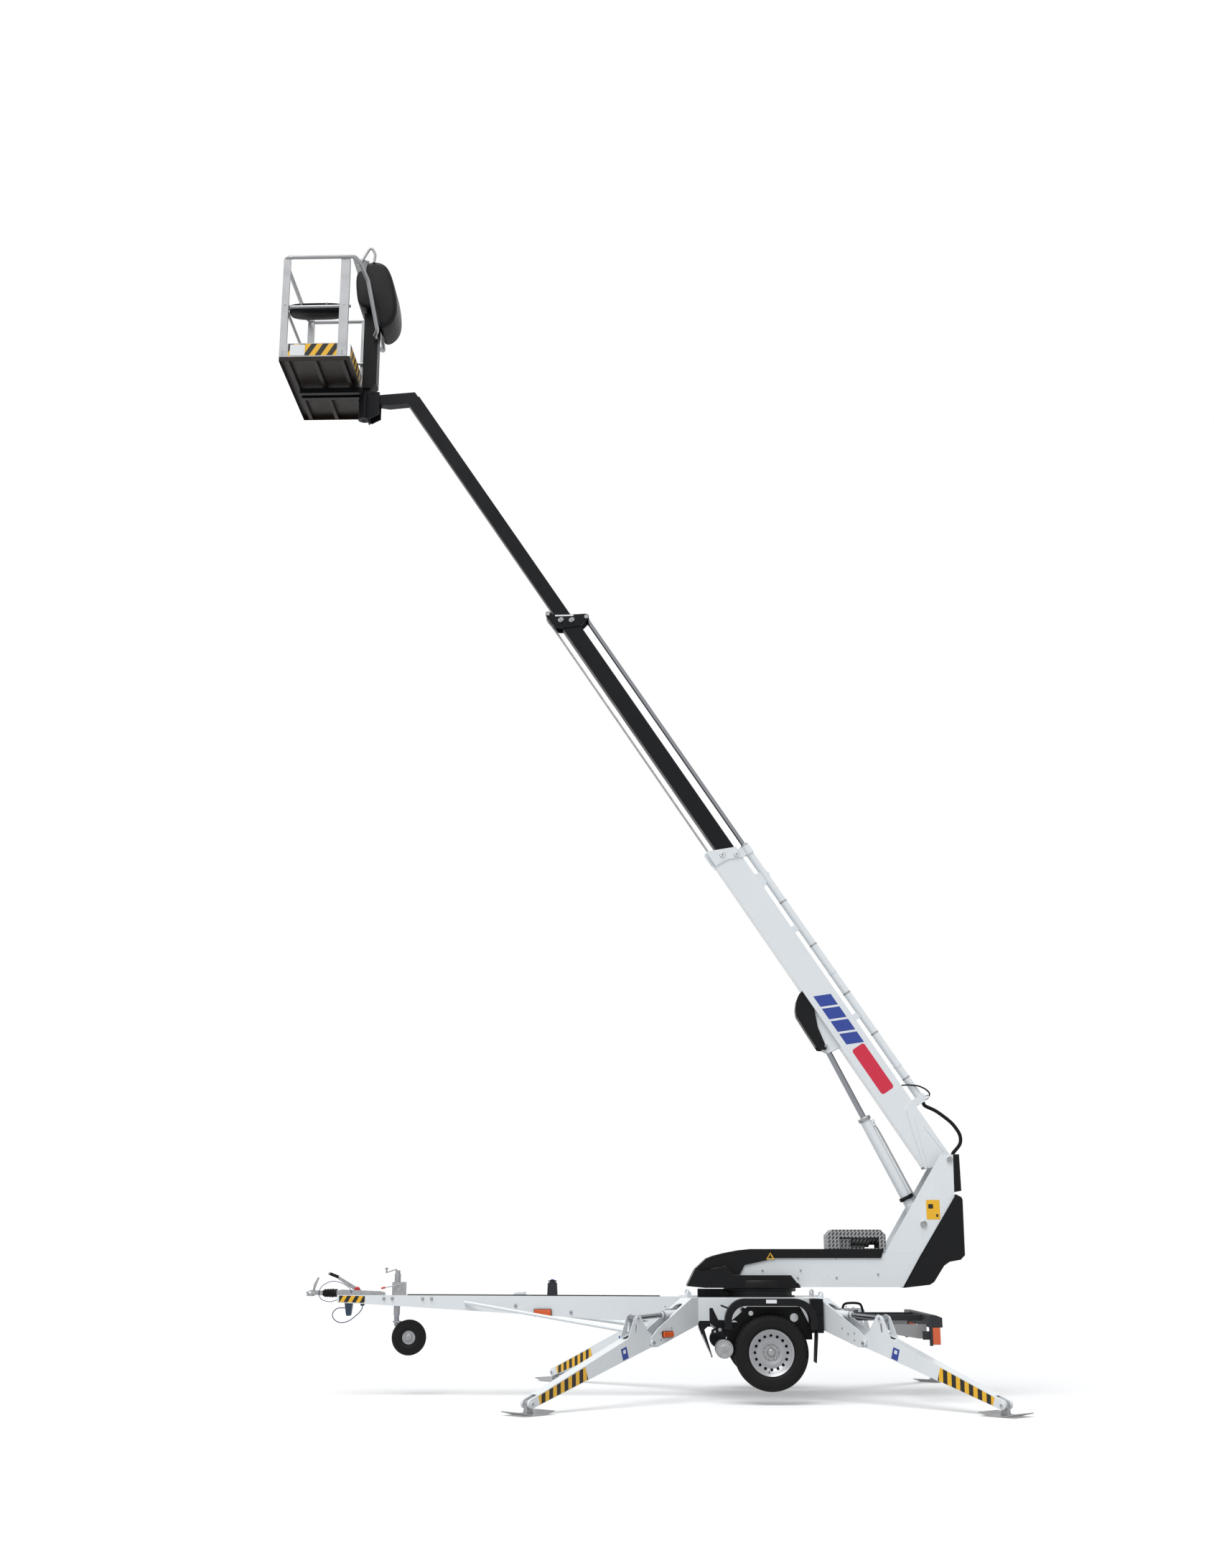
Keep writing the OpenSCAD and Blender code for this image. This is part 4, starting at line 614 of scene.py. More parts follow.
roundings = {"covers": 0.010, "rear_cover": 0.014, "basket_column": 0.012, "tower": 0.003, "turntable_frame": 0.004,
             "drawbar": 0.004, "chassis_frame": 0.005, "outrigger_arms": 0.003, "main_boom": 0.003, "middle_boom": 0.003,
             "inner_boom": 0.003, "level_bracket": 0.004, "counterweight": 0.006, "mudguards": 0.004, "light_bar": 0.003,
             "lamps": 0.004, "plug_holder": 0.004, "brake_lever": 0.003, "basket_floor": 0.003, "boom_rest": 0.003,
             "motor_guard": 0.003}
for nodeName, width in roundings.items():
    softEdged(nodeName, width, 3 if width > 0.009 else 2)
for corner in corners:
    softEdged("leg_" + corner, 0.003)
    softEdged("pad_" + corner, 0.002)

print("stage: stripes and labels")


# Part of a convex outline on one side of the line through a, to the left of direction d
def clipOutline(outline, a, d):
    kept = []
    for p, q in zip(outline, outline[1:] + outline[:1]):
        sp = d[0] * (p[1] - a[1]) - d[1] * (p[0] - a[0])
        sq = d[0] * (q[1] - a[1]) - d[1] * (q[0] - a[0])
        if sp >= 0:
            kept.append(p)
        if (sp >= 0) != (sq >= 0):
            t = sp / (sp - sq)
            kept.append((p[0] + t * (q[0] - p[0]), p[1] + t * (q[1] - p[1])))
    return kept


# Yellow panel with black slanted bars, in a frame's x and z at distance y, facing the side given by its sign
def stripedPanel(frame, outline, y, side, pitch, slant, share=0.5):
    film = 0.0006
    yellow = [slab(frame, outline, y, y + side * film)]
    black = []
    xs = [p[0] for p in outline]
    zs = [p[1] for p in outline]
    reach = (max(zs) - min(zs)) * abs(slant)
    d = (slant, 1.0)
    bars = int((max(xs) - min(xs) + 2 * reach) / pitch) + 2
    for k in range(bars):
        left = min(xs) - reach + k * pitch
        bar = clipOutline(list(outline), (left + share * pitch, min(zs)), d)
        if len(bar) >= 3:
            bar = clipOutline(bar, (left, min(zs)), (-d[0], -d[1]))
        if len(bar) >= 3:
            black.append(slab(frame, bar, y + side * film, y + side * 2 * film))
    return yellow, black


stripes = {"legFrom": 0.800, "legTo": 1.360, "legPitch": 0.088, "legSlant": -0.28, "nosePitch": 0.074,
           "noseSlant": 0.55,
           "boardPitch": 0.118, "boardSlant": 0.62}


def legTop(x):
    return 0.118 + (0.038 - 0.118) * (x - 0.270) / (legs["length"] - 0.040 - 0.270)


for corner in corners:
    frameHere = legFrame(corner)
    yellow, black = [], []
    panel = [(stripes["legFrom"], -0.032), (stripes["legTo"], -0.032),
             (stripes["legTo"], legTop(stripes["legTo"]) - 0.008),
             (stripes["legFrom"], legTop(stripes["legFrom"]) - 0.008)]
    for side in (-1, 1):
        one, two = stripedPanel(frameHere, panel, side * (legs["width"] / 2 + 0.0002), side, stripes["legPitch"],
                                stripes["legSlant"])
        yellow += one
        black += two
    label = [slab(frameHere, roundedRect(0.335, 0.020, 0.070, 0.095, 0.004), side * 0.0502,
                  side * 0.0510) for side in (-1, 1)]
    mark = [slab(frameHere, roundedRect(0.335, 0.036, 0.030, 0.030, 0.003), side * 0.0510,
                 side * 0.0514) for side in (-1, 1)]
    cap = [slab(frameHere, [(0.02, 0.1215), (0.262, 0.1215), (0.262, 0.123), (0.02, 0.123)], -0.018, 0.018)]
    makePiece("legMarks" + camelCase(corner, True), "leg_body_" + corner,
              {"signYellow": yellow, "stripeBlack": black, "labelBlue": label, "labelWhite": mark,
               "blackPlastic": cap})

yellow, black = [], []
for side in (-1, 1):
    nose = [(-3.800, 0.806), (-3.566, 0.799), (-3.566, 0.858), (-3.800, 0.862)]
    one, two = stripedPanel(slewFrame, nose, side * 0.1002, side, stripes["nosePitch"], stripes["noseSlant"])
    yellow += one
    black += two
makePiece("noseStripes", "chassis", {"signYellow": yellow, "stripeBlack": black})

basket = {"front": -0.143 - 0.720, "back": -0.143, "half": 0.650}
yellow, black, plates = [], [], []
rise = place["floorRise"]
for side in (-1, 1):
    board = [(basket["front"] + 0.090, rise + 0.012), (basket["back"] - 0.134, rise + 0.012),
             (basket["back"] - 0.134, rise + 0.143), (basket["front"] + 0.090, rise + 0.143)]
    one, two = stripedPanel(basketFrame, board, side * 0.6487, side, stripes["boardPitch"], stripes["boardSlant"])
    yellow += one
    black += two
    plates.append(slab(basketFrame, roundedRect(basket["front"] + 0.185, rise + 0.074, 0.150, 0.122, 0.006),
                       side * 0.6497, side * 0.6512))
sideways = (basketFrame[0], turnAbout("z", 90))
for x in (basket["front"], basket["back"]):
    side = 1 if x == basket["front"] else -1
    board = [(-0.600, rise + 0.012), (0.600, rise + 0.012), (0.600, rise + 0.143), (-0.600, rise + 0.143)]
    one, two = stripedPanel(sideways, board, -x + side * 0.0003, side, stripes["boardPitch"], stripes["boardSlant"])
    yellow += one
    black += two
makePiece("boardStripes", "basket", {"signYellow": yellow, "stripeBlack": black, "labelWhite": plates})

yellow, black = [], []
for side in (-1, 1):
    yellow.append(slab(slewFrame, roundedRect(1.566, 1.611, 0.122, 0.172, 0.010), side * 0.2002, side * 0.2009))
    yellow.append(slab(slewFrame, [(0.055, 1.180), (0.130, 1.180), (0.0925, 1.240)], side * 0.2122, side * 0.2128))
    black.append(slab(slewFrame, [(0.0725, 1.1885), (0.1125, 1.1885), (0.0925, 1.221)], side * 0.2128, side * 0.2131))
    black.append(slab(slewFrame, roundedRect(1.545, 1.640, 0.044, 0.040, 0.004), side * 0.2009, side * 0.2012))
    black.append(slab(slewFrame, roundedRect(1.600, 1.560, 0.018, 0.026, 0.003), side * 0.2009, side * 0.2012))
makePiece("towerSigns", "turntable", {"signYellow": yellow, "stripeBlack": black})

# Band on the boom: slanted blue bars and a blank red plate, with no lettering
band = {"mid": -0.090, "height": 0.150, "barsFrom": 1.315, "barsTo": 1.875, "bars": 4, "barWidth": 0.118,
        "redFrom": 0.800, "redTo": 1.290}
blue, red = [], []
for side in (-1, 1):
    step = (band["barsTo"] - band["barsFrom"]) / band["bars"]
    for k in range(band["bars"]):
        x = band["barsFrom"] + (k + 0.5) * step
        lean, half = 0.035, band["barWidth"] / 2
        low, high = band["mid"] - band["height"] / 2, band["mid"] + band["height"] / 2
        blue.append(slab(boomFrame, [(x - half + lean, low), (x + half + lean, low), (x + half - lean, high),
                                     (x - half - lean, high)],
                         side * 0.0952, side * 0.0956))
    red.append(slab(boomFrame, roundedRect((band["redFrom"] + band["redTo"]) / 2, band["mid"],
                                           band["redTo"] - band["redFrom"],
                                           0.135, 0.026, 8), side * 0.0952, side * 0.0956))
makePiece("boomBand", "boom", {"labelBlue": blue, "decalRed": red})

fenderLabels = []
for side in (-1, 1):
    fenderLabels.append(slab(slewFrame, roundedRect(0.045, 0.838, 0.090, 0.030, 0.003), side * 1.0102, side * 1.0108))
makePiece("fenderLabels", "chassis", {"labelWhite": fenderLabels})

print("stage: wheels")

wheel = {"x": 0.040, "z": 0.420, "track": 1.780}


# Tyre: a section of radius and side over angle 0..2pi, with tread grooves cut where the section meets the ground
def makeTyre(side, body, nodeName):
    rows = np.array([(-.0705, .1942), (-.0760, .196), (-.0835, .2015), (-.0875, .2075), (-.0890, .2090),
                     (-.0905, .2125), (-.0918, .2220),
                     (-.0925, .2330), (-.0924, .2450), (-.0912, .2560), (-.0918, .2580), (-.0900, .2660), (-.0868,
                             .2770),
                     (-.0838, .2860), (-.0810, .2925), (-.0785, .2985), (-.0730, .3055), (-.0680, .3092), (-.0625,
                             .3115),
                     (-.0560, .3128), (-.0500, .3136), (-.0465, .3139), (-.0455, .3139), (-.0385, .3142), (-.0375,
                             .3142),
                     (-.0300, .3146), (-.0230, .3148), (-.0180, .3149), (-.0170, .3149), (-.0100, .3150), (-.0090,
                             .3150), (-.0045, .3150)])
    rows = np.vstack([rows, rows[::-1] * np.array([-1, 1])])
    across, radius = rows[:, 0], rows[:, 1].copy()
    sides = 288
    turn = np.linspace(0, 2 * math.pi, sides, endpoint=False)
    grid = np.repeat(radius[None, :], sides, axis=0)
    off = np.abs(across)
    ring = ((off > 0.0376) & (off < 0.0460)) | ((off > 0.0092) & (off < 0.0172))
    grid[:, ring] -= 0.0065
    shoulder = (off > 0.049) & (off < 0.081) & (radius > 0.29)
    lug = (np.floor(np.arange(sides) / 3).astype(int) % 2 == 0)
    grid[np.ix_(lug, np.flatnonzero(shoulder))] -= 0.0042
    centre = (off >= 0.0172) & (off <= 0.0376)
    sipe = (np.arange(sides) % 6 == 0)
    grid[np.ix_(sipe, np.flatnonzero(centre))] -= 0.003
    points = np.stack([grid * np.cos(turn)[:, None], np.broadcast_to(across[None], grid.shape),
                       grid * np.sin(turn)[:, None]], axis=-1)
    n = points.shape[1]
    faces = wrapFaces(sides, n, closed=True)
    home = put(slewFrame, (wheel["x"], side * wheel["track"] / 2, wheel["z"]))
    piece = makePiece(nodeName + "Tread", body, {"rubber": [(points.reshape(-1, 3) + home, faces)]}, sharp=50)
    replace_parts(piece, nodeName)


makeTyre(-1, "left_wheel", "tyre_left")
makeTyre(1, "right_wheel", "tyre_right")

for side, body in ((-1, "left_wheel"), (1, "right_wheel")):
    hub = put(slewFrame, (wheel["x"], side * wheel["track"] / 2, wheel["z"]))
    out = np.array([0, side, 0])
    face = hub + out * 0.0075
    nuts, shine = [], []
    for k in range(5):
        t = math.radians(90 + 72 * k)
        nut = face + np.array([0.056 * math.cos(t), 0, 0.056 * math.sin(t)]) + out * 0.004
        nuts += boltHead(nut, out, 0.019)
    shine.append(turned(hub + out * 0.004, out, [(0, .0330), (.016, .0330), (.022, .0300), (.026, .0220),
                                                 (.027, .004)], 40))
    shine.append(turned(hub + out * 0.001, out, [(0, .074), (.0065, .074), (.0085, .071), (.0085, .066),
                                                 (.004, .064)], 48))
    valve = tubeAlong([hub + out * 0.020 + np.array([-.02, 0, -.147]),
                       hub + out * 0.040 + np.array([-.022, 0, -.150]),
                       hub + out * 0.056 + np.array([-.023, 0, -.152])], 0.0045, 10, (1, 0, 0))
    # Black discs in the rim's sixteen vent holes: painted shade for the dark barrel and tyre seen through them
    ventShadeDiscs = []
    for k in range(16):
        turn = math.radians(22.5 * k)
        radial = np.array([math.cos(turn), 0.0, math.sin(turn)])
        ventShadeDiscs.append(turned(hub + radial * 0.1415 + out * 0.0110, out * 20 - radial * 12,
                            [(0, .001), (0, .0150), (.0006, .0146), (.0006, .001)], 20))
    makePiece("wheelNuts" + ("Left" if side < 0 else "Right"), body,
              {"zinc": nuts + shine, "blackPlastic": [valve], "blackPaint": ventShadeDiscs})

print("stage: bolts and pins")

boltSpots = {"drawbarSide": [(-3.394, .838), (-3.318, .838), (-3.043, .836), (-2.962, .836), (-2.20, .776),
                             (-1.70, .72)],
             "turntableSide": [(0.02, 1.085), (0.36, 1.085), (0.335, 1.02), (0.68, 1.19), (0.68, 1.02), (1.05, 1.05)]}
heads = []
for x, z in boltSpots["drawbarSide"]:
    for side in (-1, 1):
        heads += boltHead(put(slewFrame, (x, side * 0.1002, z)), (0, side, 0), 0.020)
makePiece("drawbarBolts", "chassis", {"zinc": heads})
heads = []
for x, z in boltSpots["turntableSide"]:
    for side in (-1, 1):
        heads += boltHead(put(slewFrame, (x, side * 0.2002, z)), (0, side, 0), 0.013)
makePiece("turntableBolts", "turntable", {"zinc": heads})

pins = []
for side in (-1, 1):
    pins.append(turned(put(slewFrame, (1.735, side * 0.2102, 2.058)), (0, side, 0),
                       [(0, .027), (.006, .027), (.009, .023), (.009, .012), (.004, .010)], 32))
    pins.append(turned(put(slewFrame, (1.475, side * 0.2082, 1.487)), (0, side, 0),
                       [(0, .030), (.005, .030), (.0075, .027), (.0075, .019), (.001, .0185), (.001, .002)], 32))
makePiece("towerPins", "turntable", {"zinc": pins})

for corner in corners:
    frameHere = legFrame(corner)
    shapes = []
    for side in (-1, 1):
        for x, z, size in ((0.105, 0.241, .014), (1.436, 0.0, .014)):
            spotHere = put(frameHere, (x, side * 0.0572, z))
            shapes += boltHead(spotHere, aim(frameHere, 0, side, 0), size)
    makePiece("legPins" + camelCase(corner, True), "leg_body_" + corner, {"zinc": shapes})
    arm = armFrame(corner)
    shapes = []
    for side in (-1, 1):
        shapes += boltHead(put(arm, (0, side * 0.0782, 0)), aim(arm, 0, side, 0), 0.018)
        for x, z in ((-0.10, 0.020), (-0.17, 0.068), (-0.235, 0.112), (-0.10, 0.075), (-0.30, 0.285)):
            shapes += boltHead(put(arm, (x, side * 0.0662, z)), aim(arm, 0, side, 0), 0.009)
    makePiece("armPins" + camelCase(corner, True), "chassis", {"zinc": shapes})

print("stage: hoses and fittings")

hoseSize = {"thin": 0.0055, "mid": 0.0085}


def hoseRun(frameHere, points, radius, steps=8, ref=(0, 1, 0)):
    return tubeAlong(smoothRoute(put(frameHere, points), steps), radius, 12, ref)


def fitting(frameHere, start, axis, radius=0.011, length=0.045):
    axis = frameHere[1] @ np.asarray(axis, float)
    return [turned(put(frameHere, start), axis, [(0, radius), (length * .4, radius), (length * .45, radius * .8),
                                                 (length, radius * .8)], 6)]


# Foot of the telescope cylinder: two hoses that turn down into the boom's tail, with their fittings
hoses, metal = [], []
for y in (0.030, 0.052):
    hoses.append(hoseRun(boomFrame, [(0.775, y + 0.024, 0.046), (0.745, y + 0.014, 0.100), (0.690, y, 0.172),
                                     (0.625, y, 0.214), (0.575, y, 0.222),
                                     (0.553, y, 0.198)], hoseSize["thin"]))
    metal += fitting(boomFrame, (0.553, y, 0.160), (0, 0, 1), 0.010, 0.040)
    metal += fitting(boomFrame, (0.785, y + 0.024, 0.036), (-0.3, 0, 1), 0.009, 0.024)
metal.append(turned(put(boomFrame, (0.560, 0, 0.150)), aim(boomFrame, 0, 0, 1),
                    [(0, .024), (.040, .024), (.046, .020), (.060, .014), (.064, .004)], 6))
clampBand = [turned(put(boomFrame, (x, 0, 0.130)), alongBoom, [(0, .0362), (0, .0382), (.014, .0382), (.014, .0362)],
                    36)
             for x in (0.80, 1.30, 1.75, 2.30, 2.80)]
makePiece("telescopeHoses", "boom", {"rubber": hoses, "zinc": metal + clampBand})

# Lift cylinder: supply pipe, end rings and a short hose at its foot
ringProfile = [(0, .0500), (0, .0570), (.004, .0600), (.030, .0600), (.034, .0570), (.034, .0500)]
pipes = [hoseRun(liftFrame, [(0.955, 0.030, 0.044), (0.930, 0.040, 0.062), (0.700, 0.042, 0.066),
                             (0.400, 0.042, 0.066), (0.230, 0.040, 0.066),
                             (0.205, 0.034, 0.048)], 0.0060)]
metal = [turned(put(liftFrame, (1.0365, 0, 0)), alongLift, ringProfile, 40)]
metal += fitting(liftFrame, (0.205, 0.034, 0.046), (0, .3, 1), 0.011, 0.026)
hoses = [hoseRun(liftFrame, [(0.160, 0.060, 0.020), (0.150, 0.085, 0.030), (0.110, 0.098, 0.010),
                             (0.060, 0.098, -0.030), (0.030, 0.090, -0.070)], hoseSize["mid"])]
collar = [turned(put(liftFrame, (0.246, 0, 0)), alongLift,
                 [(0, .0503), (0, .0640), (.005, .0670), (.028, .0670), (.033, .0640), (.033, .0503)], 44)]
makePiece("liftPipes", "lift_barrel", {"zinc": metal + pipes, "rubber": hoses, "blackPlastic": collar})

# Wiper ring at the mouth of each leg cylinder; hoses along the leg cylinders
for corner in corners:
    arm = armFrame(corner)
    c, d = math.cos(math.radians(legSlope)), math.sin(math.radians(legSlope))
    earX = legs["ramEar"][0] * c + legs["ramEar"][1] * d
    earZ = legs["ramEar"][1] * c - legs["ramEar"][0] * d
    ramAngle = math.degrees(math.atan2(earZ - legs["ramBase"][1], earX - legs["ramBase"][0]))
    ram = movedFrame(arm, (legs["ramBase"][0], 0, legs["ramBase"][1]), "y", -ramAngle)
    along = aim(ram, 1, 0, 0)
    rings = [turned(put(ram, (0.348, 0, 0)), along, [(0, .0312), (0, .0335), (.003, .0345), (.017, .0345),
                                                     (.020, .0335), (.020, .0312)], 36)]
    pipe = [hoseRun(ram, [(0.318, 0.0, 0.034), (0.312, 0.004, 0.0405), (0.280, 0.006, 0.0405), (0.130, 0.006, 0.0405),
                          (0.095, 0.006, 0.0400),
                          (0.080, 0.002, 0.034)], 0.0045)]
    makePiece("ramPipes" + camelCase(corner, True), "ram_barrel_" + corner, {"zinc": rings + pipe})

print("stage: drive units")

drive = {"drumX": -0.358, "drumZ": 0.452}
for side in (-1, 1):
    y = side * wheel["track"] / 2
    out = np.array([0, float(side), 0])
    base = put(slewFrame, (drive["drumX"], y + side * 0.075, drive["drumZ"]))
    cage = [turned(base, out, [(0.0, .0760), (.004, .0760), (.006, .0740), (.006, .0660), (.001, .0640)], 48),
            turned(base - out * 0.009, out, [(0, .0335), (.010, .0335), (.014, .0290), (.014, .0150), (.018, .0130),
                                             (.018, .0020)], 32)]
    for k in range(3):
        t = math.radians(90 + 120 * k)
        a0 = base - out * 0.006 + np.array([0.030 * math.cos(t), 0, 0.030 * math.sin(t)])
        a1 = base - out * 0.006 + np.array([0.064 * math.cos(t), 0, 0.064 * math.sin(t)])
        cage.append(tubeAlong([a0, (a0 + a1) / 2, a1], 0.0065, 8, (0, 1, 0)))
    for k in range(6):
        t = math.radians(30 + 60 * k)
        cage += boltHead(base + out * 0.004 + np.array([0.070 * math.cos(t), 0, 0.070 * math.sin(t)]), out, 0.008)
    link = [tubeAlong(put(slewFrame, [(-0.540, y - side * .132, .560), (-0.500, y - side * .129, .468),
                                      (-0.459, y - side * .127, .384)]), 0.006, 10, (0, 1, 0))]
    lever = [tubeAlong(put(slewFrame, [(-0.377, y - side * .118, .800), (-0.320, y - side * .119, .778),
                                       (-0.264, y - side * .119, .753)]), 0.0075, 12, (0, 1, 0))]
    plateBolts = boltHead(put(slewFrame, (-0.388, y - side * .0740, .600)), out,
                          0.020) + boltHead(put(slewFrame, (-0.432, y - side * .0740, .585)), out, 0.013)
    spring = []
    turns = np.linspace(0, 2 * math.pi * 9, 160)
    path = np.stack([-0.470 + turns / turns[-1] * 0.075, y - side * 0.108 + 0.011 * np.sin(turns),
                     0.640 - turns / turns[-1] * 0.05 + 0.011 * np.cos(turns)], axis=1)
    spring.append(tubeAlong(put(slewFrame, path), 0.0020, 6, (0.83, 0, -0.55)))
    makePiece("driveParts" + ("Left" if side < 0 else "Right"), "chassis",
              {"zinc": cage + link + plateBolts + spring, "blackPlastic": lever})

print("stage: lamps")

lampList = [(-2.030, -0.124, .686, .150, .058, -1), (-2.030, 0.124, .686, .150, .058, 1)]
shells, frames = [], []
for x, y, z, w, h, side in lampList:
    frames.append(slab(slewFrame, roundedRect(x + w / 2, z + h / 2, w + 0.010, h + 0.010, 0.010), y - side * 0.020,
                       y - side * 0.006))
    for k in range(7):
        xk = x + 0.014 + k * (w - 0.028) / 6
        shells.append(slab(slewFrame, roundedRect(xk, z + h / 2, 0.006, h - 0.014, 0.0025), y, y + side * 0.0022))
for corner in ("front_left", "front_right"):
    arm = armFrame(corner)
    side = corners[corner][0] * corners[corner][1]
    for k in range(6):
        shells.append(slab(arm, roundedRect(-0.240 + 0.012 + k * 0.0192, 0.062, 0.005, 0.034, 0.002), side * 0.0900,
                           side * 0.0918))
    frames.append(slab(arm, roundedRect(-0.180, 0.062, 0.130, 0.054, 0.008), side * 0.0662, side * 0.0740))
lens = []
for side in (-1, 1):
    for k in range(8):
        z = 0.492 + k * 0.0165
        lens.append(slab(slewFrame, roundedRect(1.457, z, 0.056, 0.006, 0.0025), side * 0.8000, side * 0.8020))
makePiece("lampRibs", "chassis", {"amberLens": shells + lens, "blackPlastic": frames})

print("stage: basket")

tray = {"height": 0.118, "rim": 0.012, "halfLong": 0.292, "halfWide": 0.108}


# Tool tray: an oval dish, radius scaled by a superellipse round the middle, its wall rising from a flat bottom
def makeTray():
    turn = np.linspace(0, 2 * math.pi, 72, endpoint=False)
    c, s = np.cos(turn), np.sin(turn)
    k = (np.abs(c) ** 3.2 + np.abs(s) ** 3.2) ** (-1 / 3.2)
    rows = [(0.30, 0.000), (0.86, 0.000), (0.93, 0.006), (0.965, 0.020), (0.985, 0.066), (1.00, 0.070), (1.03, 0.070),
            (1.035, 0.066),
            (1.03, 0.062), (1.005, 0.060), (0.99, 0.016), (0.95, 0.001), (0.88, -0.005), (0.30, -0.005)]
    grid = np.stack([np.stack([scale * k * c * tray["halfLong"], scale * k * s * tray["halfWide"], np.full(72, z)],
                              axis=1) for scale, z in rows])
    middle = (basket["front"] + 0.330, -0.440, place["floorRise"] + 0.590)
    points = grid.reshape(-1, 3) + np.array(middle)
    return put(basketFrame, points), [face[::-1] for face in wrapFaces(len(rows), 72)]


hooks = []
for x in (basket["front"] + 0.190, basket["front"] + 0.450):
    hooks.append(tubeAlong(put(basketFrame, [(x, -0.530, place["floorRise"] + 0.648),
                                             (x, -0.580, place["floorRise"] + 0.644),
                                             (x, -0.602, place["floorRise"] + 0.612)]), 0.006, 10, (1, 0, 0)))
makePiece("toolTray", "basket", {"blackPlastic": [makeTray()], "zinc": hooks}, sharp=60)

caps = []
for side in (-1, 1):
    for x in (basket["front"] + 0.035, basket["back"] - 0.081):
        for z in (0.030, 0.060):
            caps += boltHead(put(basketFrame, (x, side * 0.6502, place["floorRise"] + z)), (0, side, 0), 0.008)
    for x, z in ((basket["front"] + 0.035, 0.590), (basket["back"] - 0.081, 0.590)):
        caps.append(turned(put(basketFrame, (x, side * 0.6502, place["floorRise"] + z)), (0, side, 0),
                           [(0, .009), (.002, .009), (.004, .006), (.004, .001)], 20))
makePiece("basketRivets", "basket", {"zinc": caps})

# Control panel on the stand: switches, a lamp and a joystick on the sloping plate
panelFrame = movedFrame(basketFrame, (-0.153, 0, 1.4945), "y", 14.04)
panelUp = aim(panelFrame, 0, 0, 1)
knobs, metals, red, lamp = [], [], [], []
for x, y in ((-0.050, -0.13), (-0.050, -0.07), (-0.050, 0.07), (-0.050, 0.13), (0.010, -0.13), (0.010, 0.13)):
    knobs.append(turned(put(panelFrame, (x, y, 0.0)), panelUp,
                        [(0, .013), (.006, .013), (.008, .009), (.024, .008), (.026, .004)], 20))
red.append(turned(put(panelFrame, (0.030, 0.0, 0.0)), panelUp,
                  [(0, .010), (.012, .010), (.013, .020), (.019, .021), (.024, .016), (.026, .004)], 28))
metals.append(turned(put(panelFrame, (-0.035, 0.0, 0.0)), panelUp, [(0, .022), (.004, .022), (.006, .016)], 28))
knobs.append(turned(put(panelFrame, (-0.035, 0.0, 0.004)), panelUp,
                    [(0, .014), (.012, .010), (.016, .006), (.040, .006), (.044, .013), (.056, .014), (.064, .009)],
                    24))
makePiece("panelSwitches", "basket", {"blackPlastic": knobs, "redGrip": red, "zinc": metals})

print("stage: coupling and jockey wheel")

grips = [turned(put(slewFrame, (-3.838, 0.042, 1.0215)), (-0.080, 0, 0.030),
                [(0, .0131), (.010, .0148), (.022, .0134), (.036, .0148), (.050, .0134), (.064, .0148), (.078, .0136),
                 (.0845, .0136)], 24)]
knob = [turned(put(slewFrame, (-3.660, 0.042, 0.912)), (0, -1, 0),
               [(0, .022), (.004, .026), (.014, .026), (.018, .020)], 28)]
redLever = [tubeAlong(put(slewFrame, [(-3.262, -0.046, 0.956), (-3.300, -0.062, 0.948), (-3.345, -0.070, 0.940),
                                      (-3.388, -0.070, 0.932)]), 0.0050, 10, (0, 0, 1))]
redTip = [tubeAlong(put(slewFrame, [(-3.388, -0.070, 0.932), (-3.404, -0.070, 0.929), (-3.424, -0.070, 0.925)]),
                    0.0085, 12, (0, 0, 1))]
makePiece("couplingParts", "chassis", {"rubber": grips, "redGrip": knob + redTip, "zinc": redLever})

hubShapes = []
for side in (-1, 1):
    centre = put(slewFrame, (-3.287 + 0.117, 0, 0.497))
    hubShapes.append(turned(centre + np.array([0, side * 0.014, 0]), (0, side, 0),
                            [(0, .063), (.003, .063), (.006, .059), (.004, .050), (.008, .034), (.016, .030),
                             (.0185, .026), (.0185, .010)], 44))
    for k in range(4):
        t = math.radians(45 + 90 * k)
        hubShapes += boltHead(centre + np.array([0.044 * math.cos(t), side * 0.020, 0.044 * math.sin(t)]),
                              (0, side, 0), 0.009)
makePiece("jockeyHub", "jockey_roller", {"wheelSilver": hubShapes})

capShapes = [slab(slewFrame, [(-1.915, .9852), (-1.835, .9852), (-1.842, .994), (-1.908, .994)], -0.050, 0.050)]
whiteCap = [slab(slewFrame, [(-1.895, .9942), (-1.855, .9942), (-1.862, 1.004), (-1.888, 1.004)], -0.022, 0.022)]
wedge = [slab(slewFrame, [(-2.230, .8722), (-2.115, .8712), (-2.120, .898), (-2.200, .892)], -0.040, 0.040)]
makePiece("restPads", "chassis", {"rubber": capShapes, "labelBlue": whiteCap, "labelWhite": wedge}, bevel=0.002)


print("stage: boom details")

rodSize = {"z": 0.130, "from": 3.462, "to": 6.232, "radius": 0.02212, "wiperFrom": 3.4605}
rodRun = put(boomFrame, [(x, 0, rodSize["z"]) for x in np.linspace(rodSize["from"], rodSize["to"], 5)])
wiperProfile = [(0, .0262), (0, .0390), (.003, .0400), (.012, .0400), (.015, .0380), (.015, .0262)]
makePiece("telescopeRod", "middle_section", {"chrome": [tubeAlong(rodRun, rodSize["radius"], 32)]})
makePiece("telescopeWiper", "boom", {"zinc": [turned(put(boomFrame, (rodSize["wiperFrom"], 0, rodSize["z"])),
                                                     alongBoom, wiperProfile, 36)]})

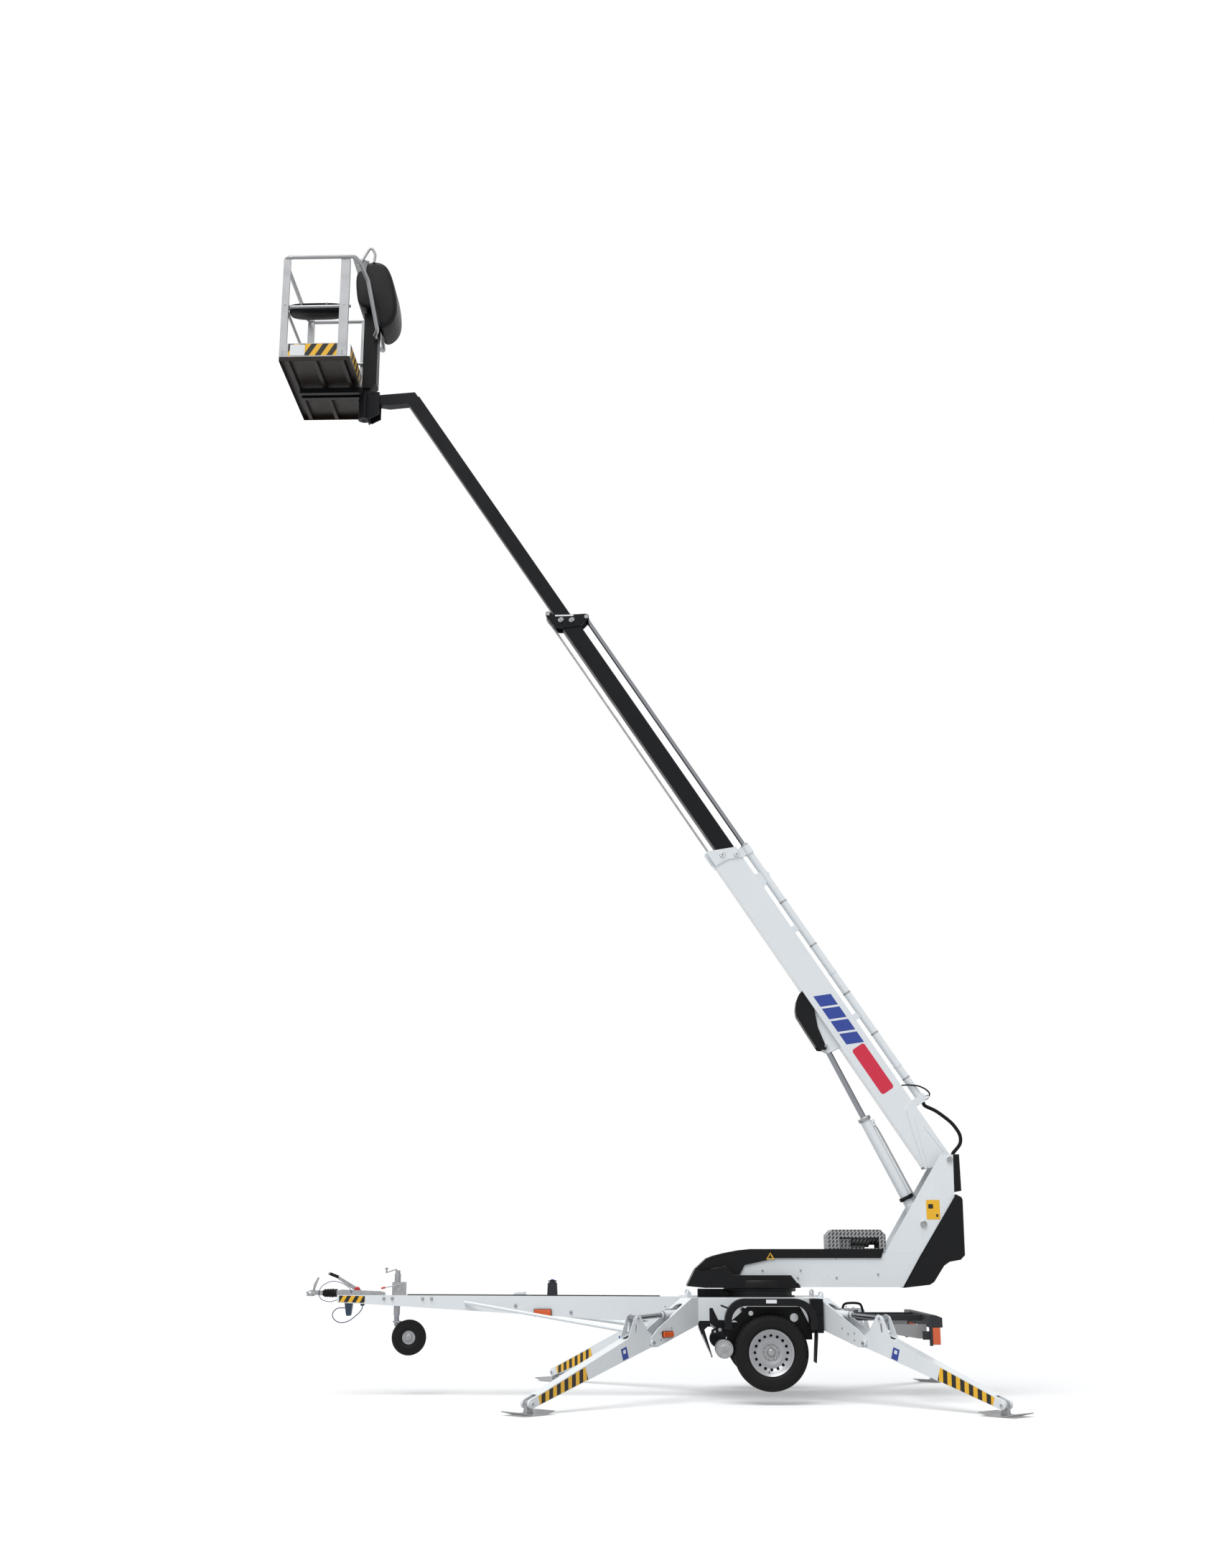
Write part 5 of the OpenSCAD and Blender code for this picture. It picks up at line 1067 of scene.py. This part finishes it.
# Oval pad adjusters on the heads: a rounded plate 3 mm thick with a bolt on each side, at (along, out) from the pivot
adjusters = {"Outer": {"body": "boom", "reach": 0.107, "spots": [(3.495, -.109), (3.425, .007)]},
             "Middle": {"body": "middle_section", "reach": 0.087, "spots": [(6.373, -.100), (6.313, -.010)]}}
oval = {"long": 0.044, "wide": 0.058, "corner": 0.021, "thick": 0.003, "bolt": 0.014}
for label, pad in adjusters.items():
    plates, heads = [], []
    for x, z in pad["spots"]:
        outline = roundedRect(x, z, oval["long"], oval["wide"], oval["corner"], 7)
        for side in (-1, 1):
            face = side * (pad["reach"] + oval["thick"])
            plates.append(slab(boomFrame, outline, side * pad["reach"], face))
            heads += boltHead(put(boomFrame, (x, face, z)), aim(boomFrame, 0, side, 0), oval["bolt"])
    makePiece("padAdjusters" + label, pad["body"], {"aluminium": plates, "zinc": heads}, bevel=0.0008)

# Ends of the chain pulley's and the rod's pins, and the white strip on the middle section's head
headPins = {"spots": [(6.501, -.172), (6.262, .130)], "face": 0.0792,
            "profile": [(0, .021), (.006, .021), (.009, .018), (.009, .004)]}
stripOutline = [(6.436, -.126), (6.450, -.120), (6.352, .034), (6.338, .028)]
pins, strips = [], []
for side in (-1, 1):
    outward = aim(boomFrame, 0, side, 0)
    for x, z in headPins["spots"]:
        pins.append(turned(put(boomFrame, (x, side * headPins["face"], z)), outward, headPins["profile"], 28))
    strips.append(slab(boomFrame, stripOutline, side * headPins["face"], side * (headPins["face"] + 0.002)))
makePiece("pulleyPins", "middle_section", {"zinc": pins, "labelWhite": strips})

# Raised ribs on the boom's tail plates: round bars of 4.8 mm radius half sunk in the plate
tailRibs = {"runs": [((.470, -.035), (.052, -.196)), ((.365, -.005), (.087, .012))], "face": 0.1052, "radius": 0.0048}
ribs = []
for side in (-1, 1):
    for start, end in tailRibs["runs"]:
        middle = ((start[0] + end[0]) / 2, (start[1] + end[1]) / 2)
        ribs.append(tubeAlong(put(boomFrame, [(x, side * tailRibs["face"], z) for x, z in (start, middle, end)]),
                              tailRibs["radius"], 8))
makePiece("tailRibs", "boom", {"whitePaint": ribs})

# Moulded cover over the lift cylinder's ears: two cheeks and the sheet that joins them below, 4 mm thick
liftShell = {"outer": 0.068, "inner": 0.064, "boltAt": (1.456, -.325), "bolt": 0.020}
coverOutline = [(2.001, -.2205), (1.990, -.262), (1.948, -.322), (1.890, -.372), (1.837, -.397), (1.660, -.404),
                (1.470, -.409),
                (1.425, -.350), (1.436, -.332), (1.640, -.290), (1.799, -.2205)]
sheetOutline = [(1.999, -.2205), (1.988, -.263), (1.946, -.323), (1.888, -.373), (1.836, -.3985), (1.660, -.4055),
                (1.500, -.410),
                (1.500, -.406), (1.660, -.4015), (1.835, -.3945), (1.886, -.369), (1.943, -.320), (1.984,
                        -.261), (1.994, -.2205)]
shellParts = [slab(boomFrame, coverOutline, side * liftShell["inner"], side * liftShell["outer"]) for side in (-1, 1)]
shellParts.append(slab(boomFrame, sheetOutline, -liftShell["inner"] - 0.0005, liftShell["inner"] + 0.0005))
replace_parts(makePiece("liftCoverShell", "boom", {"blackPlastic": shellParts}, bevel=0.0012), "lift_cover")
earBolts = []
for side in (-1, 1):
    boltSpot = put(boomFrame, (liftShell["boltAt"][0], side * (liftShell["outer"] + 0.0002), liftShell["boltAt"][1]))
    earBolts += boltHead(boltSpot, aim(boomFrame, 0, side, 0), liftShell["bolt"])
makePiece("earBolts", "boom", {"zinc": earBolts})

print("stage: turntable details")

# Round housing of the slewing ring under the skirt: two bands turned about the slewing axis
housingBands = {0.9335: [(0, .300), (0, .352), (.004, .358), (.060, .358), (.068, .352), (.072, .340), (.072, .300)],
                0.9008: [(0, .290), (0, .322), (.004, .326), (.030, .326), (.034, .322), (.034, .290)]}
makePiece("ringHousing", "turntable",
          {"blackPlastic": [turned(put(slewFrame, (0, 0, z)), (0, 0, 1), profile, 96) for z,
                            profile in housingBands.items()]})

# Seam and pressed lines on the hood's sides, as thin beads: two on the narrow part, one on the nose
seam = {"radius": 0.0022, "narrow": 0.2126, "nose": 0.3302}
seamRuns = [("narrow", [(-.470, 1.172), (-.330, 1.215), (-.180, 1.240), (-.070, 1.250)]),
            ("narrow", [(.118, 1.268), (.100, 1.235), (.072, 1.192)]),
            ("nose", [(-.575, 1.030), (-.520, 1.065), (-.330, 1.098)])]
lines = [tubeAlong(smoothRoute(put(slewFrame, [(x, side * seam[where], z) for x, z in run]), 6), seam["radius"], 6)
         for side in (-1, 1) for where, run in seamRuns]
makePiece("hoodLines", "turntable", {"blackPlastic": lines})

# Sheet beams that carry the light bar, and the bent pull handle on the far rear corner
beamOutline = [(1.105, .640), (1.400, .640), (1.400, .520), (1.330, .522), (1.120, .556)]
handleRun = [(.786, .480, .700), (.800, .480, .765), (.840, .480, .784), (.925, .480, .784), (.962, .480, .765),
             (.977, .480, .700)]
makePiece("rearBeams", "chassis", {"greySheet": [slab(slewFrame, beamOutline, low, low + 0.012) for low in (-0.612,
        0.600)],
                                   "blackPaint": [tubeAlong(smoothRoute(put(slewFrame, handleRun), 6), 0.011, 12)]})

print("stage: console")


# Corner cutting: each pass puts two points on every edge, at a quarter and three quarters
def rounded(outline, passes=3):
    p = np.asarray(outline, float)
    for _ in range(passes):
        q = np.roll(p, -1, axis=0)
        p = np.stack([0.75 * p + 0.25 * q, 0.25 * p + 0.75 * q], axis=1).reshape(-1, 2)
    return p


# Moulded shell: the outline drawn in along its own normals near both sides, by r - r cos of a quarter turn
def mouldedShell(where, outline, half, r):
    p = rounded(outline)
    step = np.roll(p, -1, axis=0) - np.roll(p, 1, axis=0)
    area = np.sum(p[:, 0] * np.roll(p[:, 1], -1) - np.roll(p[:, 0], -1) * p[:, 1])
    normal = math.copysign(1, area) * np.stack([-step[:, 1], step[:, 0]], axis=1) / np.linalg.norm(step, axis=1)[:,
            None]
    turn = np.linspace(0, math.pi / 2, 7)
    across = np.concatenate([-half + r - r * np.cos(turn), half - r + r * np.sin(turn)])
    inset = np.concatenate([r - r * np.sin(turn), r - r * np.cos(turn)])
    rings = [np.insert(p + d * normal, 1, y, axis=1) for y, d in zip(across, inset)]
    return put(where, np.vstack(rings)), wrapFaces(len(rings), len(p))


consoleSize = {"hoodHalf": 0.2105, "hoodRound": 0.045, "panelHalf": 0.190, "panelRound": 0.030, "board": 0.200,
               "hoop": 0.210, "bar": 0.014}
hoodOutline = [(.052, .700), (.015, .931), (-.062, 1.171), (-.112, 1.371), (-.078, 1.470), (.098, 1.455),
               (.186, 1.285),
               (.246, .985), (.236, .800), (.140, .694)]
panelOutline = [(-.162, .950), (-.010, .930), (.010, 1.060), (-.050, 1.300), (-.150, 1.390), (-.206, 1.330),
                (-.196, 1.120)]
boardOutline = [(-.243, 1.516), (-.063, 1.471), (-.060, 1.440), (-.068, 1.440), (-.070, 1.464), (-.243, 1.508)]
hoopRun = [(-.173, 1.411), (-.120, 1.500), (-.068, 1.597), (-.045, 1.609), (-.026, 1.592), (-.003, 1.531),
           (-.013, 1.441)]
shells = [mouldedShell(basketFrame, hoodOutline, consoleSize["hoodHalf"], consoleSize["hoodRound"]),
          mouldedShell(basketFrame, panelOutline, consoleSize["panelHalf"], consoleSize["panelRound"])]
hoops = [tubeAlong(smoothRoute(put(basketFrame, [(x, side * consoleSize["hoop"], z) for x, z in hoopRun]), 6),
                   consoleSize["bar"], 16)
         for side in (-1, 1)]
topBoard = slab(basketFrame, boardOutline, -consoleSize["board"], consoleSize["board"])
console = makePiece("consoleHood", "basket", {"blackPlastic": shells, "aluminium": [topBoard] + hoops}, sharp=50)
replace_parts(console, "console")

print("stage: hose of the boom")

# Hose loop from the turntable up to the telescope cylinder's foot: it follows both, turning between them
hoseRoute = np.vstack([put(boomFrame, [(x, 0, .130) for x in (.5397, .534, .500)]),
                       put(slewFrame, [(1.667, 0, 2.500), (1.789, 0, 2.406), (1.850, 0, 2.330), (1.876, 0, 2.269),
                                       (1.868, 0, 2.200),
                                       (1.806, 0, 2.125), (1.798, 0, 2.106), (1.798, 0, 2.1003)])])
loopPath = smoothRoute(hoseRoute, 8)
hoseLoop = makePiece("boomHoseLoop", "turntable", {"rubber": [tubeAlong(loopPath, 0.0165, 18)]}, sharp=60,
                     rides=False)
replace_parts(hoseLoop, "boom_hose")
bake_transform(hoseLoop)

print("stage: closing")
